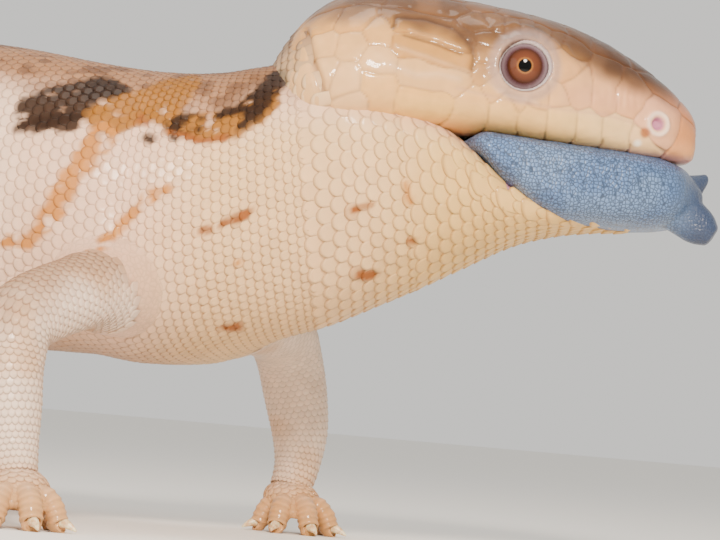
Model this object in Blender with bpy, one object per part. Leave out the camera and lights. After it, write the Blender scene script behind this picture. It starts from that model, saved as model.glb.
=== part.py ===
"""A blue-tongued skink, life size, standing on its forelegs with the mouth open and the tongue out.

Sizes are in millimetres until a mesh is made, x runs towards the snout, y to the animal's left, z up.
The trunk and the skull are lofts: closed skins drawn through named cross-sections.
"""

import math

import bmesh
import bpy
import numpy as np
from mathutils import Matrix, Vector

MM = 0.001
GAP = 0.3  # left between parts that touch
ORIGIN = (-182.2, 31.1)  # the middle of the model's box in x and y, set so that the box is centred

EYE_RADIUS = 4.7
EYE_CENTRE = (22.6, 12.7, 76.6)
NOSTRIL = (45.0, 9.3, 70.0)
EAR = (-7.6, 20.9, 65.6)

# Cross-sections of the trunk, from the chin back to the tip of the tail. Each row is
# top x, top z, bottom x, bottom z, y, half width, height of the widest place (0 bottom, 1 top),
# squareness above it and below it (2 is an ellipse).
TRUNK = {
    "chin tip": (44.6, 55.8, 44.2, 54.3, 0, 1.6, 0.60, 2.6, 2.2),
    "chin": (42.6, 56.2, 41.8, 53.4, 0, 5.6, 0.62, 3.4, 2.2),
    "lower lip front": (37.0, 56.4, 36.6, 53.0, 0, 9.2, 0.64, 4.0, 2.2),
    "lower lip middle": (30.0, 56.4, 30.6, 52.0, 0, 12.4, 0.66, 4.0, 2.2),
    "lower lip rear": (21.4, 59.7, 24.0, 49.8, 0, 15.8, 0.68, 4.0, 2.1),
    "mouth corner": (12.6, 66.2, 17.5, 46.2, 0, 18.7, 0.72, 3.0, 2.0),
    "jaw angle": (4.0, 71.5, 10.0, 41.9, 0, 20.4, 0.70, 2.4, 2.0),
    "throat": (-4.0, 74.5, 2.6, 38.0, 0, 20.9, 0.68, 2.6, 2.0),
    "nape": (-11.5, 75.6, -4.8, 34.3, 0, 20.4, 0.65, 2.6, 2.0),
    "neck": (-18.0, 74.4, -12.6, 31.7, 0.4, 20.4, 0.58, 2.4, 2.0),
    "neck root": (-24.4, 73.0, -20.6, 29.4, 1.4, 21.3, 0.51, 2.1, 2.1),
    "shoulder": (-32.0, 72.6, -30.0, 26.8, 3.4, 23.6, 0.49, 2.1, 2.2),
    "chest": (-42.5, 73.4, -41.5, 27.0, 6.4, 26.4, 0.47, 2.1, 2.3),
    "ribs front": (-60.0, 75.6, -60.0, 26.4, 12.4, 30.4, 0.46, 2.1, 2.3),
    "ribs": (-86.0, 76.2, -86.0, 22.6, 21.4, 33.6, 0.45, 2.1, 2.3),
    "belly": (-116.0, 73.0, -116.0, 17.4, 31.6, 34.8, 0.44, 2.1, 2.4),
    "belly rear": (-146.0, 65.9, -146.0, 12.1, 40.6, 33.8, 0.43, 2.1, 2.4),
    "loin": (-174.0, 56.7, -174.0, 8.1, 47.4, 30.2, 0.43, 2.1, 2.3),
    "flank": (-199.0, 47.8, -199.0, 6.0, 51.2, 25.0, 0.44, 2.1, 2.2),
    "hips": (-221.0, 41.0, -221.0, 5.8, 52.4, 20.0, 0.46, 2.1, 2.1),
    "vent": (-241.0, 36.0, -241.0, 4.4, 51.4, 16.2, 0.48, 2.1, 2.1),
    "tail root": (-263.0, 31.4, -263.0, 2.2, 48.4, 13.8, 0.49, 2.0, 2.0),
    "tail 1": (-290.0, 26.0, -290.0, 0.2, 42.4, 11.8, 0.50, 2.0, 2.0),
    "tail 2": (-320.0, 20.8, -320.0, -0.4, 33.6, 9.8, 0.50, 2.0, 2.0),
    "tail 3": (-350.0, 15.8, -350.0, -0.4, 23.2, 7.6, 0.50, 2.0, 2.0),
    "tail 4": (-379.0, 11.0, -379.0, -0.4, 12.4, 5.3, 0.50, 2.0, 2.0),
    "tail 5": (-404.0, 6.6, -404.0, -0.4, 3.6, 3.2, 0.50, 2.0, 2.0),
    "tail end": (-420.0, 3.0, -420.0, -0.2, -1.6, 1.3, 0.50, 2.0, 2.0),
}

# The trunk's nodes: first and last station, rings and sides.
LENGTHS = {
    "lower_jaw": ("chin tip", "nape", 22, 26),
    "neck": ("nape", "neck root", 7, 30),
    "torso_front": ("neck root", "ribs", 12, 30),
    "torso_middle": ("ribs", "belly rear", 8, 30),
    "torso_rear": ("belly rear", "vent", 12, 28),
    "tail_base": ("vent", "tail 2", 10, 22),
    "tail_middle": ("tail 2", "tail 4", 8, 18),
    "tail_tip": ("tail 4", "tail end", 8, 14),
}

# The skull with the upper jaw, from the snout back to the bulge over the nape.
SKULL = {
    "snout tip": (51.3, 69.9, 51.2, 67.3, 0, 1.2, 0.50, 2.2, 2.4),
    "snout front": (50.7, 72.0, 50.9, 65.6, 0, 4.3, 0.42, 2.3, 2.8),
    "snout": (49.0, 74.3, 49.2, 65.0, 0, 6.7, 0.36, 2.3, 3.2),
    "nostril": (45.6, 77.2, 45.6, 64.9, 0, 8.9, 0.34, 2.3, 3.4),
    "muzzle": (41.0, 80.2, 41.0, 64.7, 0, 10.9, 0.32, 2.4, 3.6),
    "lore": (35.5, 83.0, 35.5, 65.0, 0, 12.9, 0.31, 2.4, 3.6),
    "before the eye": (29.5, 85.1, 29.5, 65.1, 0, 14.9, 0.30, 2.5, 3.6),
    "eye": (23.0, 86.4, 23.0, 65.3, 0, 16.7, 0.30, 2.5, 3.4),
    "behind the eye": (16.0, 87.3, 16.0, 65.4, 0, 18.4, 0.30, 2.5, 3.2),
    "temple": (9.0, 88.0, 9.0, 65.0, 0, 19.8, 0.30, 2.4, 3.0),
    "cheek": (2.0, 88.2, 2.0, 64.5, 0, 20.9, 0.31, 2.3, 2.8),
    "ear": (-5.0, 87.1, -5.0, 63.6, 0, 21.4, 0.33, 2.2, 2.6),
    "head rear": (-10.2, 84.2, -10.2, 62.8, 0, 19.9, 0.36, 2.1, 2.4),
    "head back": (-13.8, 80.0, -13.6, 63.0, 0, 16.6, 0.42, 2.0, 2.2),
    "head end": (-16.2, 75.6, -16.0, 65.0, 0, 11.2, 0.46, 2.0, 2.0),
    "head close": (-17.2, 72.4, -17.1, 68.0, 0, 4.6, 0.50, 2.0, 2.0),
}

# The tongue fills the gape, hangs over the lower lips and sticks out past the snout.
TONGUE = {
    "root": (13.8, 64.6, 14.0, 63.0, 0, 9.0, 0.50, 3.0, 2.2),
    "back": (16.8, 66.3, 17.4, 62.2, 0, 16.8, 0.56, 4.0, 2.4),
    "back edge": (19.8, 66.4, 20.8, 59.0, 0, 17.9, 0.56, 4.4, 2.8),
    "behind the middle": (25.2, 66.2, 26.2, 55.4, 0, 17.2, 0.54, 4.4, 3.0),
    "middle": (31.4, 66.0, 32.0, 53.6, 0, 15.6, 0.52, 4.2, 3.2),
    "front": (38.2, 65.8, 38.4, 53.3, 0, 13.5, 0.50, 4.0, 3.0),
    "under the snout": (44.4, 65.6, 44.4, 53.7, 0, 11.4, 0.48, 3.4, 2.6),
    "out of the mouth": (48.4, 64.8, 48.2, 54.4, -0.3, 9.5, 0.48, 2.6, 2.3),
    "blade": (50.8, 63.4, 50.8, 55.2, -0.6, 7.6, 0.48, 2.2, 2.1),
    "blade end": (52.4, 61.6, 52.4, 56.6, -0.9, 5.2, 0.50, 2.0, 2.0),
    "blade close": (53.2, 60.0, 53.2, 57.8, -1.0, 2.0, 0.50, 2.0, 2.0),
}

# The two points of the tongue: x, y, z and radius of the middle line, from inside the blade out.
TONGUE_POINTS = {
    "near": (
        (47.0, -2.6, 59.0, 3.8), (50.6, -3.2, 56.5, 3.4),
        (53.3, -3.7, 54.7, 2.9), (55.0, -4.0, 53.6, 1.7),
    ),
    "far": (
        (47.6, 3.6, 59.6, 3.6), (50.8, 4.2, 61.2, 2.7),
        (53.0, 4.9, 62.6, 1.6), (54.4, 5.4, 63.9, 0.6),
    ),
}

# Soft swellings of the skull: x, y, z of the middle, reach and height. Each has a twin on the other side.
SWELLINGS = {
    "brow": (22.5, 14.6, 82.4, 5.2, 1.0),
    "eye": (22.6, 16.2, 76.6, 5.4, 0.5),
    "cheek": (1.0, 20.0, 71.0, 8.0, 0.7),
    "nose": (45.0, 8.4, 70.0, 3.0, 0.6),
    "temple dip": (9.0, 17.0, 82.0, 6.0, -0.7),
    "lore dip": (35.0, 12.0, 75.5, 4.6, -0.6),
}

# Legs, from inside the body to the palm: x, y, z and radius. The last bends are the elbow and the wrist.
LEGS = {
    "fore_right": (
        (-33.0, -1.0, 37.0, 5.8), (-35.6, -10.6, 36.8, 5.7), (-39.0, -20.0, 36.0, 5.5),
        (-43.0, -28.8, 34.8, 5.6), (-49.2, -36.8, 30.4, 5.6), (-50.2, -38.8, 24.4, 5.3),
        (-49.2, -40.0, 17.6, 4.6), (-48.4, -40.8, 11.8, 3.9), (-47.6, -42.0, 7.6, 3.5),
    ),
    "fore_left": (
        (-22.0, 12.0, 37.6, 8.4), (-19.0, 21.0, 37.2, 7.8), (-15.6, 29.4, 36.0, 6.8),
        (-12.6, 35.8, 33.8, 6.0), (-10.8, 39.2, 29.8, 5.6), (-9.2, 40.8, 23.8, 5.4),
        (-7.9, 41.2, 17.4, 4.8), (-7.8, 40.8, 11.8, 3.9), (-8.6, 39.8, 7.6, 3.5),
    ),
    "hind_right": (
        (-217.0, 44.0, 23.0, 9.6), (-212.6, 34.0, 22.0, 9.2), (-207.0, 25.0, 20.6, 7.6),
        (-203.4, 17.6, 18.4, 6.3), (-205.0, 11.4, 15.4, 5.7), (-211.4, 8.0, 12.2, 5.3),
        (-218.4, 6.2, 8.8, 4.6), (-223.4, 5.2, 6.0, 4.1), (-226.4, 4.8, 4.0, 3.7),
    ),
    "hind_left": (
        (-224.0, 60.0, 23.0, 9.6), (-223.6, 70.4, 22.0, 9.2), (-222.0, 79.6, 20.4, 7.6),
        (-221.4, 87.4, 18.2, 6.3), (-225.0, 92.6, 15.2, 5.7), (-231.8, 95.0, 12.0, 5.3),
        (-239.0, 96.4, 8.6, 4.6), (-243.8, 97.6, 6.0, 4.1), (-246.6, 98.4, 4.0, 3.7),
    ),
}
ELBOW, WRIST = 4, 7  # where a leg is parted, as rows of its list

# Toes, thumb first: angle from the hand's heading, reach from the palm's middle, radius.
FORE_TOES = ((98, 6.0, 1.50), (46, 7.8, 1.65), (4, 8.4, 1.70), (-38, 8.0, 1.65), (-84, 6.6, 1.50))
HIND_TOES = ((44, 9.6, 1.45), (24, 11.6, 1.55), (5, 13.6, 1.60), (-14, 14.8, 1.60), (-52, 10.8, 1.45))
# Palms: x, y, height of the middle, heading in degrees from +x towards +y, half length,
# half width, toes and -1 for a left foot.
PALMS = {
    "fore_right": (-46.8, -43.4, 6.0, -70, 4.8, 4.8, FORE_TOES, 1),
    "fore_left": (-8.2, 38.4, 6.0, -60, 4.8, 4.8, FORE_TOES, -1),
    "hind_right": (-221.4, 1.4, 2.4, -38, 6.2, 4.6, HIND_TOES, 1),
    "hind_left": (-242.4, 101.6, 2.4, 40, 6.2, 4.6, HIND_TOES, -1),
}
CLAW_LENGTH = 2.5
PALM_DEPTH = 3.1  # half the thickness of a palm

COLOURS = {  # base colour, roughness
    "skin_head": ((0.66, 0.45, 0.27), 0.42),
    "skin_pale": ((0.80, 0.66, 0.50), 0.45),
    "skin_back": ((0.58, 0.38, 0.23), 0.45),
    "skin_leg": ((0.72, 0.55, 0.42), 0.48),
    "tongue": ((0.16, 0.26, 0.42), 0.30),
    "eye": ((0.36, 0.10, 0.03), 0.08),
}


def through(rows, t):
    """Rows of numbers read between their stations by a Catmull-Rom curve, at float row numbers t."""
    rows = np.asarray(rows, float)
    t = np.clip(np.asarray(t, float), 0, len(rows) - 1)
    i = np.minimum(t.astype(int), len(rows) - 2)
    f = (t - i)[:, None]
    before, here, after = rows[np.maximum(i - 1, 0)], rows[i], rows[i + 1]
    beyond = rows[np.minimum(i + 2, len(rows) - 1)]
    square = 2 * before - 5 * here + 4 * after - beyond
    cube = 3 * here - before - 3 * after + beyond
    return here + 0.5 * f * ((after - before) + f * (square + f * cube))


def sections(table, t, turns, grow=0.0):
    """Points of a loft, one ring for each t and one point of it for each turn, in millimetres.

    A ring leans as its top and bottom points say, and it is a superellipse above and below its widest place.
    """
    rows = through(list(table.values()), t)
    top = np.stack([rows[:, 0], rows[:, 4], rows[:, 1] + grow], 1)
    bottom = np.stack([rows[:, 2], rows[:, 4], rows[:, 3] - grow], 1)
    step = 0.05
    ahead = through(list(table.values()), np.asarray(t) - step)
    behind = through(list(table.values()), np.asarray(t) + step)
    along = (ahead - behind)[:, [0, 4]] + (ahead - behind)[:, [2, 4]]
    along /= np.linalg.norm(along, axis=1)[:, None]
    left = np.stack([-along[:, 1], along[:, 0], np.zeros(len(along))], 1)
    sine, cosine = np.sin(turns), np.cos(turns)
    above = (sine >= 0)[None, :]
    power = 2 / np.where(above, rows[:, 7:8], rows[:, 8:9])
    rise = np.abs(sine)[None, :] ** power
    widest = rows[:, 6:7]
    height = np.where(above, widest + (1 - widest) * rise, widest - widest * rise)
    side = np.sign(cosine)[None, :] * np.abs(cosine)[None, :] ** power * (rows[:, 5:6] + grow)
    points = bottom[:, None] + height[..., None] * (top - bottom)[:, None] + side[..., None] * left[:, None]
    for end, inner in ((0, 1), (-1, -2)):
        outward = points[end].mean(0) - points[inner].mean(0)
        points[end] += grow * outward / np.linalg.norm(outward)
    return points


def swell(points, reach_scale=1.0):
    """Skull points pushed out from the head's middle line by each soft swelling and its twin."""
    flat = points.reshape(-1, 3).copy()
    axis = np.stack([flat[:, 0], np.zeros(len(flat)), np.full(len(flat), 73.0)], 1)
    out = flat - axis
    out /= np.maximum(np.linalg.norm(out, axis=1), 1e-6)[:, None]
    for x, y, z, reach, height in SWELLINGS.values():
        for side in (1, -1):
            distance = np.linalg.norm(flat - (x, side * y, z), axis=1) / (reach * reach_scale)
            flat += out * (height * np.exp(-distance**2))[:, None]
    return flat.reshape(points.shape)


def tube(rows, t, sides):
    """Rings of a round tube along x, y, z, radius rows, each square to the middle line."""
    rows_at = through(rows, t)
    ahead = through(rows, np.asarray(t) + 0.05)[:, :3] - through(rows, np.asarray(t) - 0.05)[:, :3]
    ahead /= np.linalg.norm(ahead, axis=1)[:, None]
    side = np.cross(ahead, (0.31, 0.17, 0.93))
    first = side[0] / np.linalg.norm(side[0])
    rings = []
    for centre, direction in zip(rows_at, ahead):
        first = first - direction * (first @ direction)
        first /= np.linalg.norm(first)
        second = np.cross(direction, first)
        turn = np.linspace(0, 2 * np.pi, sides, endpoint=False)
        circle = np.outer(np.cos(turn), first) + np.outer(np.sin(turn), second)
        rings.append(centre[:3] + centre[3] * circle)
    return np.array(rings)


def closed_mesh(name, rings, round_ends=False):
    """An object whose skin joins rings of points one after another, with a cap on each end."""
    rings = np.array(rings)
    if round_ends:
        before = rings[0].mean(0) + 0.35 * (rings[0].mean(0) - rings[1].mean(0))
        after = rings[-1].mean(0) + 0.35 * (rings[-1].mean(0) - rings[-2].mean(0))
    else:
        before, after = rings[0].mean(0), rings[-1].mean(0)
    shape = bmesh.new()
    loops = [[shape.verts.new(place(point)) for point in ring] for ring in rings]
    for loop, following in zip(loops, loops[1:]):
        for i in range(len(loop)):
            j = (i + 1) % len(loop)
            shape.faces.new((loop[i], loop[j], following[j], following[i]))
    for loop, middle in ((loops[0], before), (loops[-1], after)):
        centre = shape.verts.new(place(middle))
        for i in range(len(loop)):
            shape.faces.new((loop[i], loop[(i + 1) % len(loop)], centre))
    bmesh.ops.recalc_face_normals(shape, faces=shape.faces)
    bmesh.ops.triangulate(shape, faces=shape.faces)
    return finished(name, shape)


def place(point):
    """A point in millimetres as metres in the model's own frame."""
    return Vector(((point[0] - ORIGIN[0]) * MM, (point[1] - ORIGIN[1]) * MM, point[2] * MM))


def finished(name, shape):
    """The bmesh as an object in the scene, smooth but for its sharp edges."""
    mesh = bpy.data.meshes.new(name)
    shape.to_mesh(mesh)
    shape.free()
    mesh.shade_smooth()
    mesh.set_sharp_from_angle(angle=math.radians(50))
    made = bpy.data.objects.new(name, mesh)
    bpy.context.scene.collection.objects.link(made)
    return made


def apply_boolean(piece, others, operation):
    """Joins the others to the piece, or cuts them from it, and removes them."""
    group = bpy.data.collections.new("pieces")
    bpy.context.scene.collection.children.link(group)
    for other in others:
        group.objects.link(other)
    step = piece.modifiers.new("join", "BOOLEAN")
    step.operation = operation
    step.operand_type = "COLLECTION"
    step.collection = group
    step.solver = "EXACT"
    bpy.context.view_layer.update()
    seen = piece.evaluated_get(bpy.context.evaluated_depsgraph_get())
    mesh = bpy.data.meshes.new_from_object(seen)
    piece.modifiers.clear()
    old, piece.data = piece.data, mesh
    bpy.data.meshes.remove(old)
    for other in others:
        bpy.data.objects.remove(other)
    bpy.data.collections.remove(group)
    keep_largest(piece)


def keep_largest(piece):
    """Leaves only the piece's largest closed surface, as triangles."""
    shape = bmesh.new()
    shape.from_mesh(piece.data)
    bmesh.ops.remove_doubles(shape, verts=shape.verts, dist=2e-7)
    seen, islands = set(), []
    for start in shape.verts:
        if start in seen:
            continue
        island, front = [], [start]
        seen.add(start)
        while front:
            vertex = front.pop()
            island.append(vertex)
            for edge in vertex.link_edges:
                other = edge.other_vert(vertex)
                if other not in seen:
                    seen.add(other)
                    front.append(other)
        islands.append(island)
    islands.sort(key=len)
    for island in islands[:-1]:
        bmesh.ops.delete(shape, geom=island, context="VERTS")
    bmesh.ops.triangulate(shape, faces=shape.faces)
    shape.to_mesh(piece.data)
    shape.free()
    piece.data.shade_smooth()
    piece.data.set_sharp_from_angle(angle=math.radians(50))


def station(table, name):
    return float(list(table).index(name))


def trunk_length(name, start, end, rings, sides, grow=0.0):
    """A closed length of the trunk between two stations, with its underside no lower than the floor."""
    turns = np.linspace(0, 2 * np.pi, sides, endpoint=False)
    points = sections(TRUNK, np.linspace(start, end, rings), turns, grow)
    if not grow:
        points[..., 2] = np.maximum(points[..., 2], 0.0)
    return closed_mesh(name, points)


def trunk_node(name, grow=0.0):
    """One named length of the trunk, drawn in by half a gap at each end that meets another."""
    start, end, rings, sides = LENGTHS[name]
    first, last = station(TRUNK, start), station(TRUNK, end)
    if first > 0:
        first += GAP / 2 / spacing(first)
    if last < len(TRUNK) - 1:
        last -= GAP / 2 / spacing(last)
    return trunk_length(name, first, last, rings, sides, grow)


def spacing(t):
    """Millimetres along the trunk for each station near t."""
    rows = through(list(TRUNK.values()), [t - 0.1, t + 0.1])
    return abs(rows[1, [0, 2]].mean() - rows[0, [0, 2]].mean()) / 0.2


def skull(name, grow=0.0):
    turns = np.linspace(0, 2 * np.pi, 28, endpoint=False)
    t = np.linspace(0, len(SKULL) - 1, 29)
    return closed_mesh(name, swell(sections(SKULL, t, turns, grow)), round_ends=True)


def ball(name, centre, radius, segments=16, rings=10, stretch=(1, 1, 1)):
    shape = bmesh.new()
    bmesh.ops.create_uvsphere(shape, u_segments=segments, v_segments=rings, radius=radius * MM)
    bmesh.ops.scale(shape, vec=stretch, verts=shape.verts)
    bmesh.ops.triangulate(shape, faces=shape.faces)
    bmesh.ops.translate(shape, vec=place(centre), verts=shape.verts)
    return finished(name, shape)


def lid(name, side):
    """The rim of both eyelids, a ring round the opening of the eye."""
    out = Vector((0.06, side, 0.10)).normalized()
    first = out.cross(Vector((0, 0, 1))).normalized()
    second = out.cross(first)
    centre = Vector((EYE_CENTRE[0], side * EYE_CENTRE[1], EYE_CENTRE[2])) + out * 3.3
    around, thick = 20, 6
    rings = []
    for a in np.linspace(0, 2 * np.pi, around, endpoint=False):
        spoke = first * math.cos(a) * 4.3 + second * math.sin(a) * 3.9
        rim = []
        for b in np.linspace(0, 2 * np.pi, thick, endpoint=False):
            rim.append(centre + spoke + (spoke.normalized() * math.cos(b) * 1.0 + out * math.sin(b) * 0.9))
        rings.append(rim)
    shape = bmesh.new()
    loops = [[shape.verts.new(place(point)) for point in ring] for ring in rings]
    for k in range(around):
        loop, following = loops[k], loops[(k + 1) % around]
        for i in range(thick):
            j = (i + 1) % thick
            shape.faces.new((loop[i], loop[j], following[j], following[i]))
    bmesh.ops.recalc_face_normals(shape, faces=shape.faces)
    bmesh.ops.triangulate(shape, faces=shape.faces)
    return finished(name, shape)


def build_head():
    """The skull with lids, eye sockets, nostrils and ear cups."""
    head = skull("head")
    apply_boolean(head, [lid("lid", 1), lid("lid", -1)], "UNION")
    hollows = []
    for side in (1, -1):
        hollows.append(ball("socket", (EYE_CENTRE[0], side * EYE_CENTRE[1], EYE_CENTRE[2]), EYE_RADIUS + GAP))
        nostril = (NOSTRIL[0], side * NOSTRIL[1], NOSTRIL[2])
        hollows.append(ball("nostril", nostril, 0.95, 10, 6, (1.1, 1.4, 0.9)))
        hollows.append(ball("ear", (EAR[0], side * EAR[1], EAR[2]), 1.3, 10, 8, (0.8, 1.3, 1.7)))
    apply_boolean(head, hollows, "DIFFERENCE")
    return head


def build_eyes():
    eyes = []
    for word, side in (("left", 1), ("right", -1)):
        centre = (EYE_CENTRE[0], side * EYE_CENTRE[1], EYE_CENTRE[2])
        eyes.append(ball("eye_" + word, centre, EYE_RADIUS, 16, 10))
    return eyes


def build_tongue():
    """The blade with its two points, cleared of the lower jaw that it hangs over."""
    turns = np.linspace(0, 2 * np.pi, 20, endpoint=False)
    rings = sections(TONGUE, np.linspace(0, len(TONGUE) - 1, 17), turns)
    blade = closed_mesh("tongue", rings, round_ends=True)
    points = []
    for rows in TONGUE_POINTS.values():
        points.append(closed_mesh("point", tube(rows, np.linspace(0, len(rows) - 1, 7), 14), round_ends=True))
    apply_boolean(blade, points, "UNION")
    apply_boolean(blade, [trunk_node("lower_jaw", GAP), skull("skull clearance", GAP)], "DIFFERENCE")
    return blade


def build_trunk():
    """The lower jaw, neck, torso and tail, each closed on its own."""
    made = {name: trunk_node(name) for name in LENGTHS}
    for name in ("lower_jaw", "neck"):
        apply_boolean(made[name], [skull("skull clearance", GAP)], "DIFFERENCE")
    return made


def below_floor():
    """A slab whose top is the floor, which cuts each sole flat."""
    shape = bmesh.new()
    bmesh.ops.create_cube(shape, size=1)
    bmesh.ops.scale(shape, vec=(0.9, 0.9, 0.02), verts=shape.verts)
    bmesh.ops.translate(shape, vec=(0, 0, -0.01), verts=shape.verts)
    return finished("below floor", shape)


def toe(middle, heading, reach, radius):
    """One toe as a closed tube from the palm over its knuckle to its pad, and its claw, both closed."""
    ahead = np.array([math.cos(heading), math.sin(heading), 0])
    base, high = np.array([middle[0], middle[1], 0]), middle[2]
    bends = (
        (0.3, max(high - 1.4, 1.6), 1.0), (0.56, 0.8 * high, 1.1), (0.78, 0.45 * high + 0.7, 1.05),
        (0.93, 1.1, 0.95), (1.0, 0.95, 0.6),
    )
    rows = [(*(base + ahead * reach * share)[:2], height, radius * size) for share, height, size in bends]
    flesh = tube(rows, np.linspace(0, len(rows) - 1, 5), 6)
    bends = ((-0.4, 1.35, 0.86), (0.1, 1.45, 0.80), (0.5, 1.15, 0.58), (0.85, 0.68, 0.30), (1.0, 0.42, 0.14))
    rows = [
        (*(base + ahead * (reach + CLAW_LENGTH * share))[:2], height, size)
        for share, height, size in bends
    ]
    horn = tube(rows, np.linspace(0, len(rows) - 1, 4), 4)
    return closed_mesh("toe", flesh, round_ends=True), closed_mesh("claw", horn)


def build_foot(name):
    """The palm with five toes and their claws, joined into one body that stands on flats."""
    rows = LEGS[name]
    x, y, high, heading, half_length, half_width, toes, mirror = PALMS[name]
    turn = math.radians(heading)
    wrist = WRIST + GAP / 2 / np.linalg.norm(np.subtract(rows[WRIST + 1][:3], rows[WRIST][:3]))
    foot = closed_mesh(name + "_foot", tube(rows, np.linspace(wrist, len(rows) - 1, 4), 13))
    ahead, across = np.array([math.cos(turn), math.sin(turn)]), np.array([-math.sin(turn), math.cos(turn)])
    palm_rings = []
    for a in np.linspace(-0.94, 0.94, 6):
        radius = math.sqrt(1 - a * a)
        ring = []
        for b in np.linspace(0, 2 * np.pi, 12, endpoint=False):
            flat = np.array([x, y]) + ahead * half_length * a + across * half_width * radius * math.cos(b)
            ring.append((flat[0], flat[1], high - 0.2 + PALM_DEPTH * radius * math.sin(b) - 0.1 * high * a))
        palm_rings.append(ring)
    pieces = [closed_mesh("palm", palm_rings)]
    for angle, reach, size in toes:
        pieces.extend(toe((x, y, high), turn + mirror * math.radians(angle), reach, size))
    apply_boolean(foot, pieces, "UNION")
    apply_boolean(foot, [below_floor()], "DIFFERENCE")
    return foot


def build_leg(name):
    """One leg as an upper and a lower length and a foot, whose root fits the body's side."""
    rows = LEGS[name]
    spread = [np.linalg.norm(np.subtract(rows[i + 1][:3], rows[i][:3])) for i in range(len(rows) - 1)]
    upper_end = ELBOW - GAP / 2 / spread[ELBOW]
    lower_ends = (ELBOW + GAP / 2 / spread[ELBOW], WRIST - GAP / 2 / spread[WRIST - 1])
    upper = closed_mesh(name + "_upper", tube(rows, np.linspace(0, upper_end, 10), 13))
    body = trunk_length("body clearance", station(TRUNK, "throat"), station(TRUNK, "tail 1"), 40, 32, GAP)
    apply_boolean(upper, [body], "DIFFERENCE")
    lower = closed_mesh(name + "_lower", tube(rows, np.linspace(*lower_ends, 8), 13))
    foot = build_foot(name)
    swollen = [(x, y, z, radius + GAP) for x, y, z, radius in rows]
    around = closed_mesh("shin clearance", tube(swollen, np.linspace(ELBOW, lower_ends[1] + 0.02, 8), 13))
    apply_boolean(foot, [around], "DIFFERENCE")
    return [upper, lower, foot]


def material(name):
    colour, roughness = COLOURS[name]
    made = bpy.data.materials.new(name)
    made.use_nodes = True
    shader = made.node_tree.nodes["Principled BSDF"]
    shader.inputs["Base Color"].default_value = (*colour, 1)
    shader.inputs["Roughness"].default_value = roughness
    return made


def build():
    for old in list(bpy.data.objects):
        bpy.data.objects.remove(old)
    materials = {name: material(name) for name in COLOURS}
    paint = {"skin_head": [build_head()], "eye": build_eyes(), "tongue": [build_tongue()]}
    trunk = build_trunk()
    paint["skin_pale"] = [trunk["lower_jaw"], trunk["neck"]]
    paint["skin_back"] = [trunk[name] for name in trunk if name not in ("lower_jaw", "neck")]
    paint["skin_leg"] = [piece for name in LEGS for piece in build_leg(name)]
    for name, pieces in paint.items():
        for piece in pieces:
            piece.data.materials.clear()
            piece.data.materials.append(materials[name])


build()
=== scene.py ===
# %% [markdown]
# # A blue-tongued skink
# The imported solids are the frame: head, lengths of trunk and tail, legs, feet, tongue and eyes at their real size.
# This lesson dresses them. One skin takes the place of all the flesh, overlapping scales of solid mesh lie on it,
# the head gets its shields, and eyes, tongue and claws are pieces of their own.
# Lengths are in millimetres here, x runs towards the snout, y to the animal's left and z up, until a mesh is made.

import math

import bpy
import numpy as np
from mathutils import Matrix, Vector


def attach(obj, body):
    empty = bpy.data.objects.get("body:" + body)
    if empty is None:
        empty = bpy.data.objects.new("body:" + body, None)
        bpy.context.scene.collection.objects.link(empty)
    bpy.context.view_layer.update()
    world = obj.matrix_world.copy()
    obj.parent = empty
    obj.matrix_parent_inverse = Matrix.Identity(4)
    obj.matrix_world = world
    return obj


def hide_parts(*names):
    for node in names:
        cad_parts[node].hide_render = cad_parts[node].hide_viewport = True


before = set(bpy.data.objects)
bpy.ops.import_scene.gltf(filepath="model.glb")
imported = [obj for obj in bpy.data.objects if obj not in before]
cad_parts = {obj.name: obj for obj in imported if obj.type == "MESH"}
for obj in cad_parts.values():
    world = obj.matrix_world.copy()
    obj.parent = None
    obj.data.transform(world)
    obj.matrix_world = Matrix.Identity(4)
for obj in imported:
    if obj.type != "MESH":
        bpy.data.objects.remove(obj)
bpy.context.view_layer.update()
MM = 0.001  # a millimetre, as meshes are in metres
ORIGIN = np.array([-182.2, 31.1, 0.0])  # the model's box is centred over the frame's origin

# %% [markdown]
# The animal's form is a loft, a skin drawn through named cross-sections, as in the solids.
# Sculpting by hand would also work, but the same table keeps the skin exactly where the solids are.

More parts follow.
